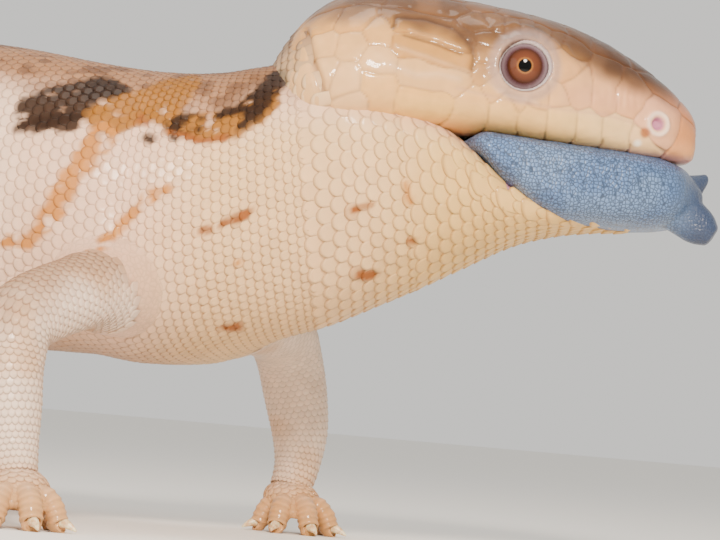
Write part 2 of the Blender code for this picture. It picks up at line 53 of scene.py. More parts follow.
# %% Cross-sections of the body
# top x, top z, bottom x, bottom z, y, half width, height of the widest place, squareness above and below it
TRUNK = {
    "chin tip": (44.6, 55.8, 44.2, 54.3, 0, 1.6, 0.60, 2.6, 2.2),
    "chin": (42.6, 56.2, 41.8, 53.4, 0, 5.6, 0.62, 3.4, 2.2),
    "lower lip front": (37.0, 56.4, 36.6, 53.0, 0, 9.2, 0.64, 4.0, 2.2),
    "lower lip middle": (30.0, 56.4, 30.6, 52.0, 0, 12.4, 0.66, 4.0, 2.2),
    "lower lip rear": (21.4, 59.7, 24.0, 49.8, 0, 15.8, 0.68, 4.0, 2.1),
    "mouth corner": (12.6, 66.2, 17.5, 46.2, 0, 18.7, 0.72, 3.0, 2.0),
    "jaw angle": (4.0, 71.5, 10.0, 41.9, 0, 20.4, 0.70, 2.4, 2.0),
    "throat": (-4.0, 74.5, 2.6, 38.0, 0, 20.9, 0.68, 2.6, 2.0),
    "nape": (-11.5, 75.6, -4.8, 34.3, 0, 20.4, 0.65, 2.6, 2.0),
    "neck": (-18.0, 74.4, -12.6, 31.7, 0.4, 20.4, 0.58, 2.4, 2.0),
    "neck root": (-24.4, 73.0, -20.6, 29.4, 1.4, 21.3, 0.51, 2.1, 2.1),
    "shoulder": (-32.0, 72.6, -30.0, 26.8, 3.4, 23.6, 0.49, 2.1, 2.2),
    "chest": (-42.5, 73.4, -41.5, 27.0, 6.4, 26.4, 0.47, 2.1, 2.3),
    "ribs front": (-60.0, 75.6, -60.0, 26.4, 12.4, 30.4, 0.46, 2.1, 2.3),
    "ribs": (-86.0, 76.2, -86.0, 22.6, 21.4, 33.6, 0.45, 2.1, 2.3),
    "belly": (-116.0, 73.0, -116.0, 17.4, 31.6, 34.8, 0.44, 2.1, 2.4),
    "belly rear": (-146.0, 65.9, -146.0, 12.1, 40.6, 33.8, 0.43, 2.1, 2.4),
    "loin": (-174.0, 56.7, -174.0, 8.1, 47.4, 30.2, 0.43, 2.1, 2.3),
    "flank": (-199.0, 47.8, -199.0, 6.0, 51.2, 25.0, 0.44, 2.1, 2.2),
    "hips": (-221.0, 41.0, -221.0, 5.8, 52.4, 20.0, 0.46, 2.1, 2.1),
    "vent": (-241.0, 36.0, -241.0, 4.4, 51.4, 16.2, 0.48, 2.1, 2.1),
    "tail root": (-263.0, 31.4, -263.0, 2.2, 48.4, 13.8, 0.49, 2.0, 2.0),
    "tail 1": (-290.0, 26.0, -290.0, 0.2, 42.4, 11.8, 0.50, 2.0, 2.0),
    "tail 2": (-320.0, 20.8, -320.0, -0.4, 33.6, 9.8, 0.50, 2.0, 2.0),
    "tail 3": (-350.0, 15.8, -350.0, -0.4, 23.2, 7.6, 0.50, 2.0, 2.0),
    "tail 4": (-379.0, 11.0, -379.0, -0.4, 12.4, 5.3, 0.50, 2.0, 2.0),
    "tail 5": (-404.0, 6.6, -404.0, -0.4, 3.6, 3.2, 0.50, 2.0, 2.0),
    "tail end": (-420.0, 3.0, -420.0, -0.2, -1.6, 1.3, 0.50, 2.0, 2.0),
}
SKULL = {
    "snout tip": (51.3, 69.9, 51.2, 67.3, 0, 1.2, 0.50, 2.2, 2.4),
    "snout front": (50.7, 72.0, 50.9, 65.6, 0, 4.3, 0.42, 2.3, 2.8),
    "snout": (49.0, 74.3, 49.2, 65.0, 0, 6.7, 0.36, 2.3, 3.2),
    "nostril": (45.6, 77.2, 45.6, 64.9, 0, 8.9, 0.34, 2.3, 3.4),
    "muzzle": (41.0, 80.2, 41.0, 64.7, 0, 10.9, 0.32, 2.4, 3.6),
    "lore": (35.5, 83.0, 35.5, 65.0, 0, 12.9, 0.31, 2.4, 3.6),
    "before the eye": (29.5, 85.1, 29.5, 65.1, 0, 14.9, 0.30, 2.5, 3.6),
    "eye": (23.0, 86.4, 23.0, 65.3, 0, 16.7, 0.30, 2.5, 3.4),
    "behind the eye": (16.0, 87.3, 16.0, 65.4, 0, 18.4, 0.30, 2.5, 3.2),
    "temple": (9.0, 88.0, 9.0, 65.0, 0, 19.8, 0.30, 2.4, 3.0),
    "cheek": (2.0, 88.2, 2.0, 64.5, 0, 20.9, 0.31, 2.3, 2.8),
    "ear": (-5.0, 87.1, -5.0, 63.6, 0, 21.4, 0.33, 2.2, 2.6),
    "head rear": (-10.2, 84.2, -10.2, 62.8, 0, 19.9, 0.36, 2.1, 2.4),
    "head back": (-13.8, 80.0, -13.6, 63.0, 0, 16.6, 0.42, 2.0, 2.2),
    "head end": (-16.2, 75.6, -16.0, 65.0, 0, 11.2, 0.46, 2.0, 2.0),
    "head close": (-17.2, 72.4, -17.1, 68.0, 0, 4.6, 0.50, 2.0, 2.0),
}
TONGUE = {
    "root": (13.8, 64.6, 14.0, 63.0, 0, 9.0, 0.50, 3.0, 2.2),
    "back": (16.8, 66.3, 17.4, 62.2, 0, 16.8, 0.56, 4.0, 2.4),
    "back edge": (19.8, 66.4, 20.8, 59.0, 0, 17.9, 0.56, 4.4, 2.8),
    "behind the middle": (25.2, 66.2, 26.2, 55.4, 0, 17.2, 0.54, 4.4, 3.0),
    "middle": (31.4, 66.0, 32.0, 53.6, 0, 15.6, 0.52, 4.2, 3.2),
    "front": (38.2, 65.8, 38.4, 53.3, 0, 13.5, 0.50, 4.0, 3.0),
    "under the snout": (44.4, 65.6, 44.4, 53.7, 0, 11.4, 0.48, 3.4, 2.6),
    "out of the mouth": (48.4, 64.8, 48.2, 54.4, -0.3, 9.5, 0.48, 2.6, 2.3),
    "blade": (50.8, 63.4, 50.8, 55.2, -0.6, 7.6, 0.48, 2.2, 2.1),
    "blade end": (52.4, 61.6, 52.4, 56.6, -0.9, 5.2, 0.50, 2.0, 2.0),
    "blade close": (53.2, 60.0, 53.2, 57.8, -1.0, 2.0, 0.50, 2.0, 2.0),
}
NUDGE = 0.05  # of a row: how far before and behind a place a curve's direction is read
HEAD_AXIS = 73.0  # height of the line that swellings of the head point away from
EYE_CENTRE = np.array([22.6, 12.7, 76.6])
EYE_RADIUS = 4.7
NOSTRIL = np.array([44.3, 9.6, 70.1])
EAR = np.array([-7.4, 20.9, 66.4])
SWELLINGS = {  # x, y, z, reach and height
    "brow": (22.5, 14.6, 82.4, 5.2, 1.0),
    "eye": (22.6, 16.2, 76.6, 5.4, 0.5),
    "cheek": (1.0, 20.0, 71.0, 8.0, 0.7),
    "nose": (45.0, 8.4, 70.0, 3.0, 0.6),
    "temple dip": (9.0, 17.0, 82.0, 6.0, -0.7),
    "lore dip": (35.0, 12.0, 75.5, 4.6, -0.6),
}


def station(table, name):
    """The row number of a named station."""
    return float(list(table).index(name))


def through(rows, t):
    """Rows of numbers read between their stations by a Catmull-Rom curve, at float row numbers t."""
    rows = np.asarray(rows, float)
    t = np.clip(np.asarray(t, float), 0, len(rows) - 1)
    i = np.minimum(t.astype(int), len(rows) - 2)
    f = (t - i)[:, None]
    before, here, after = rows[np.maximum(i - 1, 0)], rows[i], rows[i + 1]
    beyond = rows[np.minimum(i + 2, len(rows) - 1)]
    square = 2 * before - 5 * here + 4 * after - beyond
    cube = 3 * here - before - 3 * after + beyond
    return here + 0.5 * f * ((after - before) + f * (square + f * cube))


def sections(table, t, turns):
    """A loft: at each t a ring that is one superellipse above its widest place and another below it.

    Height is widest + (1 - widest) * |sin|^(2/n) above and widest - widest * |sin|^(2/n) below,
    and the side is half width * |cos|^(2/n), square to the middle line seen from above.
    """
    rows = through(list(table.values()), t)
    top = np.stack([rows[:, 0], rows[:, 4], rows[:, 1]], 1)
    bottom = np.stack([rows[:, 2], rows[:, 4], rows[:, 3]], 1)
    near, far = (through(list(table.values()), np.asarray(t) + step) for step in (-NUDGE, NUDGE))
    along = (near - far)[:, [0, 4]] + (near - far)[:, [2, 4]]
    along /= np.linalg.norm(along, axis=1)[:, None]
    left = np.stack([-along[:, 1], along[:, 0], np.zeros(len(along))], 1)
    sine, cosine = np.sin(turns), np.cos(turns)
    power = 2 / np.where((sine >= 0)[None, :], rows[:, 7:8], rows[:, 8:9])
    rise = np.abs(sine)[None, :] ** power
    widest = rows[:, 6:7]
    height = np.where((sine >= 0)[None, :], widest + (1 - widest) * rise, widest - widest * rise)
    side = np.sign(cosine)[None, :] * np.abs(cosine)[None, :] ** power * rows[:, 5:6]
    middle = bottom[:, None] + height[..., None] * (top - bottom)[:, None]
    return middle + side[..., None] * left[:, None]


def swell(points):
    """Skull points pushed out from the head's middle line by height * exp(-(distance / reach)^2)."""
    flat = points.reshape(-1, 3).copy()
    out = flat - np.stack([flat[:, 0], np.zeros(len(flat)), np.full(len(flat), HEAD_AXIS)], 1)
    out /= np.maximum(np.linalg.norm(out, axis=1), 1e-6)[:, None]
    for x, y, z, reach, height in SWELLINGS.values():
        for side in (1, -1):
            distance = np.linalg.norm(flat - (x, side * y, z), axis=1) / reach
            flat += out * (height * np.exp(-distance**2))[:, None]
    return flat.reshape(points.shape)


# %% [markdown]
# Scales need a place on the body that is easy to count in rings and rows.
# Each surface is therefore kept as a dense grid whose points lie evenly round every ring, from the belly's midline
# up the left side, with the normal at each point, and anything is placed by a row and a share of a turn.

# %% Surfaces as even grids
BELLY_FIRST = np.linspace(-0.5 * np.pi, 1.5 * np.pi, 421)  # angles round a ring, from the belly's midline
PER_STATION = 12  # rows of a grid from one station to the next
COLUMNS = 256  # points round a ring


def evenly(rings, columns):
    """Rings redrawn with the same distance between neighbours: each is read at equal shares of its length."""
    lengths = np.linalg.norm(np.diff(rings, axis=1), axis=2)
    shares = np.concatenate([np.zeros((len(rings), 1)), np.cumsum(lengths, axis=1)], 1)
    shares /= shares[:, -1:]
    wanted = np.arange(columns) / columns
    even = [[np.interp(wanted, share, ring[:, k]) for k in range(3)] for share, ring in zip(shares, rings)]
    return np.array(even).transpose(0, 2, 1)


def normals_of(points):
    """Outward unit normals of a grid that closes round each row: the cross product of its two slopes."""
    along = np.gradient(points, axis=0)
    around = np.roll(points, -1, axis=1) - np.roll(points, 1, axis=1)
    normal = np.cross(around, along)
    normal /= np.maximum(np.linalg.norm(normal, axis=2), 1e-9)[..., None]
    outward = np.sum(normal * (points - points.mean(1, keepdims=True)), axis=2)
    return normal * np.where(outward.mean() < 0, -1, 1)


def at(surface, row, turn):
    """Points and normals at float rows and shares of a turn, mixed from the grid's four nearest points."""
    points = surface[0]
    row = np.clip(row, 0, len(points) - 1.001)
    i, column = row.astype(int), (turn % 1.0) * points.shape[1]
    j = column.astype(int) % points.shape[1]
    k, f, g = (j + 1) % points.shape[1], (row - i)[..., None], (column - np.floor(column))[..., None]
    read = [[grid[r, j] * (1 - g) + grid[r, k] * g for r in (i, i + 1)] for grid in surface]
    return [here * (1 - f) + beyond * f for here, beyond in read]


def gap_to_grid(points, surface, step):
    """Signed distance from points to a surface, read at the nearest point of a coarser grid."""
    coarse, facing = (grid[:: step[0], :: step[1]].reshape(-1, 3) for grid in surface)
    flat, gaps = points.reshape(-1, 3), []
    for part in np.array_split(flat, max(1, len(flat) // 800)):  # in parts, to spare memory
        nearest = np.argmin(((part[:, None] - coarse[None]) ** 2).sum(2), axis=1)
        gaps.append(np.sum((part - coarse[nearest]) * facing[nearest], axis=1))
    return np.concatenate(gaps).reshape(points.shape[:-1])


def loft(table):
    """A table's rings, with PER_STATION rows to a station."""
    return sections(table, np.arange(0, len(table) - 1 + 1e-9, 1 / PER_STATION), BELLY_FIRST)


trunk_points = evenly(loft(TRUNK), COLUMNS)
skull_points = evenly(swell(loft(SKULL)), COLUMNS)
print("trunk grid", trunk_points.shape, "skull grid", skull_points.shape)

# %% [markdown]
# The legs are tubes along a bent middle line, thick at the body and thin at the wrist.
# They could be joined to the trunk by a Boolean, but that leaves a hard crease.
# Here the trunk swells where a leg's surface comes near and the leg swells where the trunk's does,
# which gives the soft shoulder of a real animal.

# %% Legs
LEGS = {  # x, y, z and radius along the middle line, from inside the body to the palm
    "fore_right": (
        (-33.0, -1.0, 37.0, 5.8), (-35.6, -10.6, 36.8, 5.7), (-39.0, -20.0, 36.0, 5.5),
        (-43.0, -28.8, 34.8, 5.6), (-49.2, -36.8, 30.4, 5.6), (-50.2, -38.8, 24.4, 5.3),
        (-49.2, -40.0, 17.6, 4.6), (-48.4, -40.8, 11.8, 3.9), (-47.6, -42.0, 7.6, 3.5),
    ),
    "fore_left": (
        (-22.0, 12.0, 37.6, 8.4), (-19.0, 21.0, 37.2, 7.8), (-15.6, 29.4, 36.0, 6.8),
        (-12.6, 35.8, 33.8, 6.0), (-10.8, 39.2, 29.8, 5.6), (-9.2, 40.8, 23.8, 5.4),
        (-7.9, 41.2, 17.4, 4.8), (-7.8, 40.8, 11.8, 3.9), (-8.6, 39.8, 7.6, 3.5),
    ),
    "hind_right": (
        (-217.0, 44.0, 23.0, 9.6), (-212.6, 34.0, 22.0, 9.2), (-207.0, 25.0, 20.6, 7.6),
        (-203.4, 17.6, 18.4, 6.3), (-205.0, 11.4, 15.4, 5.7), (-211.4, 8.0, 12.2, 5.3),
        (-218.4, 6.2, 8.8, 4.6), (-223.4, 5.2, 6.0, 4.1), (-226.4, 4.8, 4.0, 3.7),
    ),
    "hind_left": (
        (-224.0, 60.0, 23.0, 9.6), (-223.6, 70.4, 22.0, 9.2), (-222.0, 79.6, 20.4, 7.6),
        (-221.4, 87.4, 18.2, 6.3), (-225.0, 92.6, 15.2, 5.7), (-231.8, 95.0, 12.0, 5.3),
        (-239.0, 96.4, 8.6, 4.6), (-243.8, 97.6, 6.0, 4.1), (-246.6, 98.4, 4.0, 3.7),
    ),
}
SOFTNESS = 10.0  # how far a shoulder's swelling reaches
LEG_ROWS, LEG_SIDES = 97, 64  # of a leg's grid


def tube(rows, t, sides):
    """Rings round a bent line: centre + radius * (cos * first + sin * second), with both square to the line.

    The first direction starts level with the ground and is carried along without twisting.
    """
    rows_at = through(rows, t)
    ahead = through(rows, np.asarray(t) + NUDGE)[:, :3] - through(rows, np.asarray(t) - NUDGE)[:, :3]
    ahead /= np.linalg.norm(ahead, axis=1)[:, None]
    first, rings = np.cross(ahead[0], (0.31, 0.17, 0.93)), []
    angles = np.linspace(0, 2 * np.pi, sides, endpoint=False)[:, None]
    for centre, direction in zip(rows_at, ahead):
        first = first - direction * (first @ direction)
        first /= np.linalg.norm(first)
        second = np.cross(direction, first)
        rings.append(centre[:3] + centre[3] * (np.cos(angles) * first + np.sin(angles) * second))
    return np.array(rings)


def gap_to_leg(points, rows):
    """Distance from points to a leg's surface, negative inside: the least of |point - centre| - radius."""
    centres = through(rows, np.linspace(0, len(rows) - 1, 40))
    gaps = [np.linalg.norm(points - centre[:3], axis=-1) - centre[3] for centre in centres]
    return np.min(gaps, axis=0)


def gap_to_trunk(points):
    """Signed distance from points to the trunk's surface."""
    return gap_to_grid(points, trunk, (3, 4))


def softened(points, normal, gap):
    """Points moved out by k / 4 * (1 - |gap| / k)^2 where the other surface is nearer than k."""
    near = np.clip(1 - np.abs(gap) / SOFTNESS, 0, 1)
    return points + normal * (SOFTNESS / 4 * near**2)[..., None]


for rows in LEGS.values():
    trunk_points = softened(trunk_points, normals_of(trunk_points), gap_to_leg(trunk_points, rows))
trunk = (trunk_points, normals_of(trunk_points))
skull = (skull_points, normals_of(skull_points))
legs = {}
for name, rows in LEGS.items():
    limb = tube(rows, np.linspace(0, len(rows) - 1, LEG_ROWS), LEG_SIDES)
    limb = softened(limb, normals_of(limb), gap_to_trunk(limb))
    legs[name] = (limb, normals_of(limb))
print("legs", {name: leg[0].shape for name, leg in legs.items()})

# %% [markdown]
# Feet rest on the pads of their toes. A palm is a flattened egg and each toe is a short bent tube with a claw.
# The same few numbers as in the solids place them, and a loop makes all twenty toes.

# %% Feet
# For each toe its angle from the heading, its reach and its radius.
FORE_TOES = ((98, 6.0, 1.50), (46, 7.8, 1.65), (4, 8.4, 1.70), (-38, 8.0, 1.65), (-84, 6.6, 1.50))
HIND_TOES = ((44, 9.6, 1.45), (24, 11.6, 1.55), (5, 13.6, 1.60), (-14, 14.8, 1.60), (-52, 10.8, 1.45))
PALMS = {  # x, y, z, heading in degrees, half length, half width, toes, -1 for a left foot
    "fore_right": (-46.8, -43.4, 6.0, -70, 4.8, 4.8, FORE_TOES, 1),
    "fore_left": (-8.2, 38.4, 6.0, -60, 4.8, 4.8, FORE_TOES, -1),
    "hind_right": (-221.4, 1.4, 2.4, -38, 6.2, 4.6, HIND_TOES, 1),
    "hind_left": (-242.4, 101.6, 2.4, 40, 6.2, 4.6, HIND_TOES, -1),
}
PALM_DEPTH = 3.1  # half the thickness of a palm
CLAW_LENGTH = 2.5
CLAW_BENDS = ((-0.4, 1.35, 0.86), (0.1, 1.45, 0.80), (0.5, 1.15, 0.58), (0.85, 0.68, 0.30), (1.0, 0.42, 0.14))


def palm(name, rings=25, columns=64):
    """A flattened egg: ring radius sqrt(1 - a^2), widened by half_width and flattened to PALM_DEPTH in height."""
    x, y, high, heading, half_length, half_width, _, _ = PALMS[name]
    turn = math.radians(heading)
    ahead = np.array([math.cos(turn), math.sin(turn), 0])
    across = np.array([-math.sin(turn), math.cos(turn), 0])
    a = np.sin(np.linspace(-1.45, 1.45, rings))[:, None, None]
    angle = np.linspace(-0.5 * np.pi, 1.5 * np.pi, columns, endpoint=False)[None, :, None]
    radius = np.sqrt(1 - a * a)
    middle = np.array([x, y, high - 0.2]) + ahead * half_length * a - np.array([0, 0, 0.1 * high]) * a
    side = across * half_width * radius * np.cos(angle)
    return middle + side + np.array([0, 0, PALM_DEPTH]) * radius * np.sin(angle)


def toe_lines(name):
    """For each toe the middle line and radius of its flesh and of its claw, as rows of x, y, z, radius.

    A bend is a share of the reach, a height, and a share of the toe's radius or, for a claw, the radius itself.
    """
    x, y, high, heading, _, _, toes, mirror = PALMS[name]
    for angle, reach, radius in toes:
        turn = math.radians(heading + mirror * angle)
        ahead = np.array([math.cos(turn), math.sin(turn)])
        bends = (
            (0.3, max(high - 1.4, 1.6), 1.0), (0.56, 0.8 * high, 1.1), (0.78, 0.45 * high + 0.7, 1.05),
            (0.93, 1.1, 0.95), (1.0, 0.95, 0.6),
        )
        flesh = [(*((x, y) + ahead * reach * share), z, radius * size) for share, z, size in bends]
        horn = [(*((x, y) + ahead * (reach + CLAW_LENGTH * share)), z, size) for share, z, size in CLAW_BENDS]
        yield flesh, horn


palms = {name: (points, normals_of(points)) for name in PALMS for points in [palm(name)]}
print("palms", list(palms))

# %% [markdown]
# Every irregularity comes from two kinds of noise that give the same numbers each run:
# a smooth one for blotches and tints, and a cell noise for granules and papillae.

# %% Noise
def scramble(cells, seed):
    """Whole-number cells to numbers from 0 to 1, by mixing their bits."""
    x, y, z = cells[..., 0], cells[..., 1], cells[..., 2]
    mixed = x * 73856093 ^ y * 19349663 ^ z * 83492791 ^ (seed * 40503 + 977)
    mixed = (mixed ^ (mixed >> 13)) * 1274126177 & 0x7FFFFFFF
    return ((mixed ^ (mixed >> 15)) & 0xFFFFF) / 0xFFFFF


def noise(points, size, seed=0):
    """Smooth noise from -1 to 1: values at the corners of cubes of this size, mixed by smoothstep weights."""
    scaled = np.asarray(points) / size
    low = np.floor(scaled).astype(np.int64)
    f = scaled - low
    f = f * f * (3 - 2 * f)
    total = 0
    for corner in np.ndindex(2, 2, 2):
        weight = np.prod(np.where(corner, f, 1 - f), axis=-1)
        total = total + weight * scramble(low + corner, seed)
    return 2 * total - 1


def cells(points, size, seed=0):
    """Distance to the nearest of scattered centres, one in each cube of this size, as a share of the size."""
    scaled = np.asarray(points) / size
    low = np.floor(scaled).astype(np.int64)
    nearest = np.full(scaled.shape[:-1], 9.0)  # farther than any centre can be
    for step in np.ndindex(3, 3, 3):
        cube = low + step - 1
        centre = cube + 0.15 + 0.7 * np.stack([scramble(cube, seed + k) for k in range(3)], -1)
        nearest = np.minimum(nearest, np.linalg.norm(scaled - centre, axis=-1))
    return nearest


def smooth(low, high, value):
    """Smoothstep from 0 at low to 1 at high."""
    share = np.clip((value - low) / (high - low), 0, 1)
    return share * share * (3 - 2 * share)


def linear(code):
    """An sRGB hex colour as linear red, green and blue."""
    channels = np.array([int(code[k : k + 2], 16) for k in (1, 3, 5)]) / 255
    return np.where(channels <= 0.04045, channels / 12.92, ((channels + 0.055) / 1.055) ** 2.4)


def blend(colour, other, share):
    """Colours mixed towards one other colour by a share for each point."""
    return colour + (linear(other) - colour) * np.asarray(share)[..., None]


def layered(colour, *layers):
    """Colours mixed towards each layer's colour in turn, by the layer's share. A colour code may come first."""
    for code, share in layers:
        colour = blend(linear(colour) if isinstance(colour, str) else colour, code, share)
    return colour


# %% [markdown]
# The markings are those of the northern form: a brown back crossed by ragged black-brown bars, ochre between them,
# double orange stripes down the flank below each bar, and a pinkish cream belly. Painted shade darkens the underside
# towards the belly's middle line, and painted light makes the flank behind the shoulder paler.
# One function gives the colour at any place, so that the skin and every scale on it agree.
# The shoulder's own blotch, saddle and stripes are strokes, each a bent line with a half width.

# %% Strokes
def from_line(across, up, places):
    """Distance in a flat view from points to a bent line: the least over its straight lengths."""
    nearest = np.full(np.shape(across), 1e9)
    for (x0, z0), (x1, z1) in zip(places[:-1], places[1:]):
        dx, dz = x1 - x0, z1 - z0
        share = np.clip(((across - x0) * dx + (up - z0) * dz) / (dx * dx + dz * dz), 0, 1)
        nearest = np.minimum(nearest, np.hypot(across - x0 - share * dx, up - z0 - share * dz))
    return nearest


DARK, OCHRE, ORANGE, RUST = "#2c1a0d", "#95601f", "#bd7a34", "#8f4f1e"
MARKS = {  # colour, half width, how broken up, then x and z along the stroke, seen from the side
    "shoulder blotch": (DARK, 3.3, 0.30, (-51.8, 63.4), (-47.5, 65.2), (-42.6, 66.8)),
    "blotch front": (DARK, 1.9, 0.30, (-43.5, 67.4), (-40.0, 67.6)),
    "blotch foot": (DARK, 1.7, 0.45, (-51.0, 61.2), (-46.4, 62.0)),
    "blotch spot": (DARK, 0.9, 0.2, (-54.6, 60.0), (-53.9, 60.3)),
    "saddle": (OCHRE, 2.7, 0.18, (-41.4, 62.8), (-37.4, 64.8), (-33.4, 66.8), (-31.0, 67.8)),
    "saddle top": (OCHRE, 1.8, 0.4, (-33.0, 68.6), (-29.0, 70.4)),
    "neck band": (OCHRE, 2.2, 0.15, (-33.4, 65.0), (-30.0, 62.9), (-26.4, 62.5), (-22.0, 63.2),
                  (-18.6, 65.6), (-16.6, 68.4)),
    "band top edge": (DARK, 0.8, 0.50, (-29.0, 64.2), (-25.6, 64.4), (-22.4, 65.5), (-19.6, 66.8),
                      (-16.6, 69.4), (-15.2, 71.8)),
    "band speckle": (DARK, 1.9, 0.68, (-30.6, 63.0), (-26.6, 62.4), (-21.6, 63.4), (-18.4, 65.8)),
    "band low edge": (RUST, 0.6, 0.50, (-31.0, 61.6), (-27.0, 60.6), (-22.6, 61.2)),
    "nape edge": (DARK, 1.9, 0.25, (-18.6, 66.4), (-15.0, 71.4)),
    "pale flecks 1": (RUST, 0.7, 0.3, (-35.6, 63.3), (-35.0, 62.9)),
    "pale flecks 2": (DARK, 0.8, 0.3, (-34.4, 60.6), (-33.8, 60.3)),
    "pale flecks 3": (DARK, 0.6, 0.3, (-30.4, 60.9), (-29.8, 60.5)),
    "stripe 1": (ORANGE, 1.6, 0.30, (-41.2, 60.8), (-43.2, 57.4), (-44.8, 54.4), (-46.6, 50.4),
                 (-48.4, 46.4)),
    "stripe 1 front": (ORANGE, 1.2, 0.40, (-40.2, 60.0), (-42.4, 55.2)),
    "stripe 1 foot": (ORANGE, 1.1, 0.35, (-48.8, 45.4), (-51.0, 42.6), (-55.4, 42.6)),
    "stripe 2": (ORANGE, 0.95, 0.42, (-30.6, 52.7), (-33.6, 50.8), (-36.2, 47.2), (-39.0, 44.1),
                 (-41.2, 41.0)),
    "fleck 1": (RUST, 0.65, 0.1, (-24.6, 46.8), (-23.6, 47.1)),
    "fleck 2": (RUST, 0.55, 0.1, (-21.8, 47.9), (-20.8, 48.4)),
    "fleck 3": (RUST, 0.8, 0.1, (-19.9, 49.0), (-17.6, 50.4)),
    "fleck 4": (RUST, 0.45, 0.1, (-1.8, 52.0), (0.8, 53.0)),
    "fleck 5": (ORANGE, 0.5, 0.1, (5.8, 56.4), (6.8, 54.2)),
    "fleck 6": (RUST, 0.7, 0.1, (-0.2, 42.1), (2.2, 42.7)),
    "fleck 7": (RUST, 0.6, 0.1, (-20.4, 32.5), (-18.2, 32.8)),
    "fleck 8": (RUST, 0.4, 0.1, (7.2, 48.1), (8.0, 48.4)),
    "fleck 9": (ORANGE, 0.4, 0.1, (-19.0, 42.2), (-18.6, 42.5)),
}
# Where the dark bars cross the back, as x.
BARS = (-72.0, -98.0, -124.0, -149.0, -173.0, -196.0, -218.0, -240.0, -262.0, -283.0, -303.0, -323.0,
        -342.0, -360.0, -377.0, -392.0, -405.0)


# %% [markdown]
# The real pattern is pigment in the skin, laid down in bars before birth. Painting a picture of it would tie it to
# one view, so it is worked out from the place: how far down the flank, how far from the next bar, and a noise that
# frays every edge. The strokes come last, as they are this one animal's own.

# %% Markings of the trunk and tail
OTHER_SIDE = np.array([0, 0, 300.0])  # the left side reads its noise this far off, so that the sides differ


def trunk_colour(points, normal, turn):
    """Colour at points of the trunk, whose turn runs from 0 at the belly to 0.5 at the back.

    Each colour function takes points, normals and turns, and this one has no use for the normals.
    """
    down = np.abs((turn % 1.0) - 0.5) * 2
    x, z = points[..., 0], points[..., 2]
    along = points + OTHER_SIDE * (points[..., 1:2] > 0)
    sizes = (11.0, 8.0, 4.0, 2.4, 1.2)
    broad, wide, middle, small, fine = (noise(along, size, k) for k, size in enumerate(sizes, 1))
    back = smooth(0.36, 0.20, down + 0.05 * wide)
    colour = layered(
        "#e8bd9f",
        # painted shade: the underside is darkened towards the belly's middle line
        ("#b48c6a", smooth(0.70, 0.95, down)),
        ("#dcab86", smooth(0.10, -0.3, broad) * smooth(0.8, 0.4, down) * 0.5),
        ("#8f6038", back * 0.85),
        ("#573621", back * smooth(0.0, 0.35, small) * 0.65),
    )
    behind = smooth(-58.0, -64.0, x)
    wander = 3.4 * wide + 2.2 * middle
    for bar in BARS:
        reach = 8.0 if bar > -250 else 6.0  # half a bar's length, shorter on the tail
        away = np.abs(x - bar + wander)
        near = smooth(reach + 2.5, reach - 1.0, away) * behind
        dark = smooth(reach - 1.0, reach - 3.4, away) * smooth(0.43, 0.34, down + 0.10 * middle) * behind
        lean = x - bar + 24.0 * (down - 0.45) + 0.5 * wander
        stripe = smooth(1.9, 0.9, np.abs(np.abs(lean) - 4.2)) * smooth(0.37, 0.43, down)
        stripe = stripe * smooth(0.76, 0.66, down)
        colour = layered(
            colour,
            (OCHRE, near * smooth(0.50, 0.38, down + 0.08 * small) * smooth(-0.5, 0.1, small) * 0.9),
            (DARK, dark * smooth(-0.4, 0.0, small) * 0.95),
            (ORANGE, stripe * smooth(-0.3, 0.0, small) * behind * 0.9),
        )
    colour = layered(
        colour,
        # painted light: the flank behind the shoulder, below the back, is made paler
        ("#f0cdb2", smooth(-46.0, -60.0, x) * smooth(0.95, 0.7, down) * 0.8 * (1 - back)),
        ("#e8bd85", smooth(-38.0, -20.0, x) * smooth(0.30, 0.42, down) * 0.8),
        ("#e2b566", smooth(-3.0, 15.0, x) * smooth(0.30, 0.45, down) * 0.8),
        ("#83562f", smooth(70.5, 73.5, z + 1.5 * middle) * smooth(-34.0, -24.0, x) * 0.6),
    )
    for k, (code, half, broken, *places) in enumerate(MARKS.values()):
        edge = from_line(x, z, places) + min(0.5, half / 3) * (small + fine)
        speckle = fine + 0.7 * small + 0.2 * noise(along, 0.7, 60 + k % 3)
        kept = smooth(2 * broken - 1.55, 2 * broken - 1.15, speckle)
        colour = blend(colour, code, smooth(half + 0.3, half - 0.3, edge) * kept * 0.97)
    return colour * (1 + 0.05 * fine)[..., None]


# %% [markdown]
# Limbs are pinkish beige, browner along the top, and the toes are cream to ochre.

# %% Markings of the legs
def leg_colour(points, normal, turn=None):
    """Colour of legs and feet from the way the skin faces and from noise."""
    top = smooth(-0.1, 0.8, normal[..., 2] + 0.25 * noise(points, 5.0, 21))
    colour = layered(
        "#e9cdb6",
        ("#9a7049", top * 0.75 * smooth(16.0, 26.0, points[..., 2])),
        ("#cf9c68", smooth(0.1, 0.6, noise(points, 6.0, 22)) * 0.4),
        ("#c48c4c", smooth(12.0, 4.0, points[..., 2]) * 0.85),
    )
    return colour * (1 + 0.05 * noise(points, 1.5, 23))[..., None]


# %% [markdown]
# A mesh is filled straight from arrays. Colours go into a point attribute that the materials read,
# and each piece of the coat gets a second map that says where on the skin each scale is rooted.

# %% Arrays to meshes
def grid_faces(rows, columns, closed):
    """Corner numbers of the quads of a grid, closed round its rows if asked."""
    index = np.arange(rows * columns).reshape(rows, columns)
    beside = np.roll(index, -1, axis=1) if closed else index[:, 1:]
    here = index if closed else index[:, :-1]
    return np.stack([here[:-1], here[1:], beside[1:], beside[:-1]], -1).reshape(-1, 4)


def in_frame(points):
    """Points of the tables, in millimetres, as metres in the frame."""
    return (np.asarray(points, float) - ORIGIN) * MM


def paint(mesh, colour):
    """Writes a colour for each point."""
    attribute = mesh.color_attributes.new("Col", "FLOAT_COLOR", "POINT")
    attribute.data.foreach_set("color", np.c_[np.clip(colour, 0, 1), np.ones(len(colour))].ravel())


